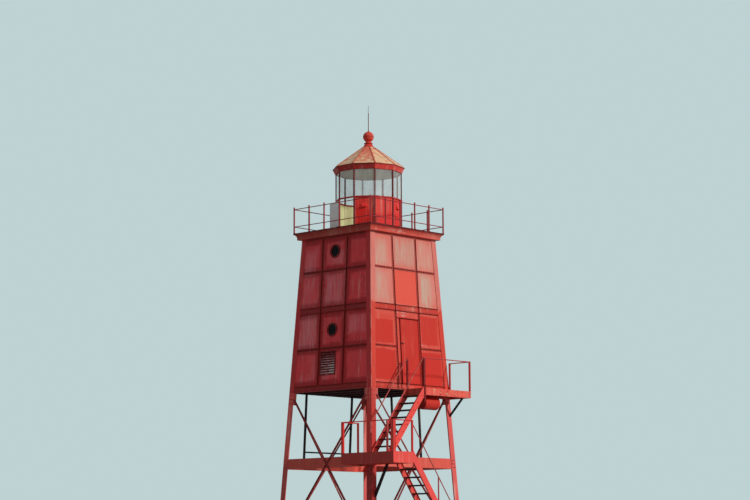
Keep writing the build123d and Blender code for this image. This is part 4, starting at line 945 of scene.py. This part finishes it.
# Rivets along the gallery deck's edge and on the lantern's parapet
deck_middle = Vector((0, 0, (deck_bottom + deck_top) / 2))
fixings("deck_rivets", "paint_deck", Shape.rivet,
        [framed(right * along + out * deck_edge + deck_middle, right, out)
         for right, out in map(side_axes, SIDES.values())
         for along in spaced(0.05 - deck_edge, deck_edge - 0.05, 0.12)], 0.010)

parapet_face = 0.016
panel_margin = 0.055
panel_reach = lantern_radius * math.sin(math.pi / lantern_sides) - panel_margin
panel_places = [(along, height) for along in spaced(-panel_reach, panel_reach, 0.07)
                for height in (deck_top + 0.03, parapet_top - 0.03)]
panel_places += [(side, height) for side in (-panel_reach, panel_reach)
                 for height in spaced(deck_top + 0.10, parapet_top - 0.10, 0.08)]
fixings("parapet_rivets", "paint_parapet", Shape.rivet,
        [on_lantern(number, along, height, parapet_face)
         for number in range(lantern_sides) if number != doorway_side for along, height in panel_places], 0.009)


def flat_frame(x, y, z, out_y):
    """Upright frame at a point that looks along y, forwards or back."""
    return framed(Vector((x, y, z)), Vector((-out_y, 0, 0)), Vector((0, out_y, 0)))


# Turned-down lips along both edges of the treads
lip_depth = 0.034
lip_thickness = 0.004
for flight in ("upper", "lower"):
    lips = Shape()
    for low, high in solids(flight + "_treads"):
        for edge in (low.x, high.x - lip_thickness):
            lips.box((edge, low.y, low.z - lip_depth), (edge + lip_thickness, high.y, low.z))
    lips.finish(flight + "_tread_lips", "paint_treads")

# Bolts that hold the treads to the strings of the stairs, on the sides that show
tread_bolt_inset = 0.045
tread_bolt_drop = 0.014
tread_places = []
for flight, faces in (("upper", (-1, 1)), ("lower", (1,))):
    strings = solids(flight + "_stringers")
    edges = {-1: strings[0][0].y, 1: strings[1][1].y}
    tread_places += [flat_frame(x, edges[face], low.z - tread_bolt_drop, face)
                     for low, high in solids(flight + "_treads") for face in faces
                     for x in (low.x + tread_bolt_inset, high.x - tread_bolt_inset)]
fixings("tread_bolts", "paint_stair", Shape.bolt, tread_places, 0.011)

# Bolts along the upper landing's edge, and the tail of its near post
landing_low, landing_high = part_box("upper_landing")
fixings("landing_bolts", "paint_upper_landing", Shape.bolt,
        [flat_frame(x, landing_low.y, height, -1)
         for x in spaced(landing_low.x + 0.06, landing_high.x - 0.06, 0.36)
         for height in (landing_low.z + 0.045, landing_high.z - 0.055)], 0.013)
tail_low = 4.58
tail_width = 0.070
tail_thickness = 0.012
tail_face = landing_low.y - tail_thickness
tail = Shape()
tail.box((landing_low.x, tail_face, tail_low),
         (landing_low.x + tail_width, landing_low.y, landing_high.z + 0.10))
for height in (landing_low.z + 0.05, landing_high.z - 0.03, landing_high.z + 0.06):
    tail.bolt(flat_frame(landing_low.x + tail_width / 2, tail_face, height, -1), 0.014)
tail.finish("post_tail", "paint_dark_red")

# Cap of the newel post, which is the squarest of the lower rails
cap_reach = 0.008
newel_low, newel_high = max(solids("lower_rails"), key=lambda box: min((box[1] - box[0]).xy))
newel_middle = (newel_low + newel_high) / 2
newel_top = Matrix.Translation((newel_middle.x, newel_middle.y, newel_high.z))
cap_radius = (newel_high.x - newel_low.x) / 2 * math.sqrt(2) + cap_reach
cap = Shape()
cap.turned([(0, 0), (cap_radius, 0), (cap_radius, 0.012), (0.03, 0.035), (0, 0.035)], 4, newel_top, math.pi / 4)
cap.finish("newel_cap", "paint_stair_posts")

# Hoops round the drum, with straps up to the landing's deck
hoop_inset = 0.10
hoop_reach = 0.015
hoop_height = 0.004
hanger_thickness = 0.006
hanger_lap = 0.006
deck_underside = landing_high.z - 0.008
drum_low, drum_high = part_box("drum_shell")
drum_middle = (drum_low + drum_high) / 2
drum_radius = (drum_high.z - drum_low.z) / 2
hoops = Shape()
for x in (drum_low.x + hoop_inset, drum_high.x - hoop_inset):
    place = framed(Vector((x, drum_middle.y, drum_middle.z)), Vector((0, 1, 0)), Vector((1, 0, 0)))
    hoops.hoop(drum_radius - sink, drum_radius + hoop_height, -hoop_reach, hoop_reach, 48, place)
    for y in (drum_middle.y - 0.030, drum_middle.y + 0.024):
        hoops.box((x - hoop_reach, y, drum_high.z - hanger_lap),
                  (x + hoop_reach, y + hanger_thickness, deck_underside))
hoops.finish("drum_hoops", "paint_drum")

# Foot plates of the gallery railings, with four bolts each
rail_place = deck_edge - 0.024 - 0.017
foot_reach = 0.038
foot_top = deck_top + 0.007
foot_bolts = 0.027
bays = 5
feet = Shape()
for turn in SIDES.values():
    right, out = side_axes(turn)
    for along in spaced(-rail_place, rail_place, 2 * rail_place / bays)[:-1]:
        centre = right * along + out * rail_place
        feet.box((centre.x - foot_reach, centre.y - foot_reach, deck_top),
                 (centre.x + foot_reach, centre.y + foot_reach, foot_top))
        for x, y in ((x, y) for x in (-foot_bolts, foot_bolts) for y in (-foot_bolts, foot_bolts)):
            feet.bolt(Matrix.Translation((centre.x + x, centre.y + y, foot_top)), 0.006)
feet.finish("rail_feet", "paint_rails")

# Beads that hold the lantern's panes
bead = 0.007
bead_height = 0.011
panes = solids("lantern_glass")
pane_half = max(high.y for low, high in panes if low.x > 0.9)
pane_face = lantern_radius * math.cos(math.pi / lantern_sides) - max(high.x for low, high in panes)
beads = Shape()
for number in range(lantern_sides):
    place = on_lantern(number, 0, 0, pane_face)
    for side in (-1, 1):
        edge, inner = sorted((side * pane_half, side * (pane_half - bead)))
        beads.box((edge, sill_top, 0), (inner, glass_top, bead_height), place)
    for low in (sill_top, glass_top - bead):
        beads.box((bead - pane_half, low, 0), (pane_half - bead, low + bead, bead_height), place)
beads.finish("glazing_beads", "paint_lantern_posts")

# Drip moulding under the eave, band round the ball and clamp under the collar
ball_radius = 0.170
collar_height = 0.125
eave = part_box("lantern_cornice")[1]
ball_low, ball_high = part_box("ball_ventilator")
mouldings = Shape()
mouldings.hoop(eave.y - 0.030, eave.y + 0.006, eave.z - 0.022, eave.z - 0.002, lantern_sides, start=math.pi / 2)
mouldings.hoop(0.164, 0.1735, -0.007, 0.007, 48, Matrix.Translation((0, 0, ball_high.z - ball_radius)))
mouldings.hoop(0.100, 0.128, -0.010, 0.0, 40, Matrix.Translation((0, 0, ball_low.z + collar_height)))
mouldings.finish("lantern_mouldings", "paint_dark_red")

# Flat bars and strap hinges on the lantern's open door, with its handle
bar = 0.030
bar_height = 0.005
strap_inset = 0.18
strap_length = 0.20
strap_reach = 0.018
strap_height = 0.006
door_points = [vertex.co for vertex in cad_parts["lantern_door"].data.vertices]
door_low = min(point.z for point in door_points)
door_tall = max(point.z for point in door_points) - door_low
foot_points = [point for point in door_points if point.z == door_low]
free_edge = max(foot_points, key=lambda point: point.y)
hinge_edge = min(foot_points, key=lambda point: point.x)
door_wide = (hinge_edge - free_edge).length
door_along = (hinge_edge - free_edge).normalized()
place = framed(free_edge, door_along, Vector((door_along.y, -door_along.x, 0)))
bars = Shape()
for low, high in (((0, 0), (door_wide, bar)), ((0, door_tall - bar), (door_wide, door_tall)),
                  ((0, bar), (bar, door_tall - bar)), ((door_wide - bar, bar), (door_wide, door_tall - bar))):
    bars.box((*low, 0), (*high, bar_height), place)
for height in (strap_inset, door_tall - strap_inset):
    bars.box((door_wide - strap_length, height - strap_reach, 0),
             (door_wide - bar, height + strap_reach, strap_height), place)
    for along in (door_wide - 0.17, door_wide - 0.08):
        bars.rivet(place @ Matrix.Translation((along, height, strap_height)), 0.008)
bars.turned([(0, 0), (0.018, 0), (0.018, 0.006), (0.007, 0.010), (0.007, 0.04), (0, 0.04)], 16,
            place @ Matrix.Translation((0.065, door_tall / 2, 0)))
bars.box((0.058, door_tall / 2 - 0.006, 0.034), (0.150, door_tall / 2 + 0.006, 0.046), place)
bars.finish("lantern_door_bars", "paint_white")


def rows_round(left, right, low, high, rise_pitch, level_pitch):
    """Places round a rectangle: up both sides with the corners, then along its foot and head between them."""
    places = [(along, height) for height in spaced(low, high, rise_pitch) for along in (left, right)]
    between = spaced(left, right, level_pitch)[1:-1]
    return places + [(along, height) for along in between for height in (low, high)]


# Rivets round the entrance door, with a gap at its lock, and the keyhole plate
leaf_left, leaf_right = -0.372, 0.472
leaf_low, leaf_high = 5.202, 7.202
leaf_depth = 0.0312
leaf_inset = 0.030
lock_low, lock_high = 6.34, 6.50
door_rivets = Shape()
for along, height in rows_round(leaf_left + leaf_inset, leaf_right - leaf_inset, leaf_low + leaf_inset,
                                leaf_high - leaf_inset, 0.11, 0.11):
    if along > 0 or not lock_low < height < lock_high:
        door_rivets.rivet(on_face(FRONT, along, height, leaf_depth), 0.008)
door_rivets.turned([(0, -sink), (0.024, -sink), (0.024, 0.003), (0.008, 0.005), (0.006, 0.002), (0, 0.002)], 20,
                   on_face(FRONT, leaf_left + 0.055, 6.29, leaf_depth))
door_rivets.finish("door_rivets", "paint_door", body="door", smooth=True)

# Screws round the louvre's rim
rim_middle = 0.0175
rim_depth = 0.0045
rim_places = rows_round(louvre_left - rim_middle, louvre_right + rim_middle, louvre_low - rim_middle,
                        louvre_high + rim_middle, 0.175, 0.155)
fixings("louvre_screws", "paint_dark_red", Shape.bolt,
        [on_face(LEFT, along, height, rim_depth) for along, height in rim_places], 0.007)

low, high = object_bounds()
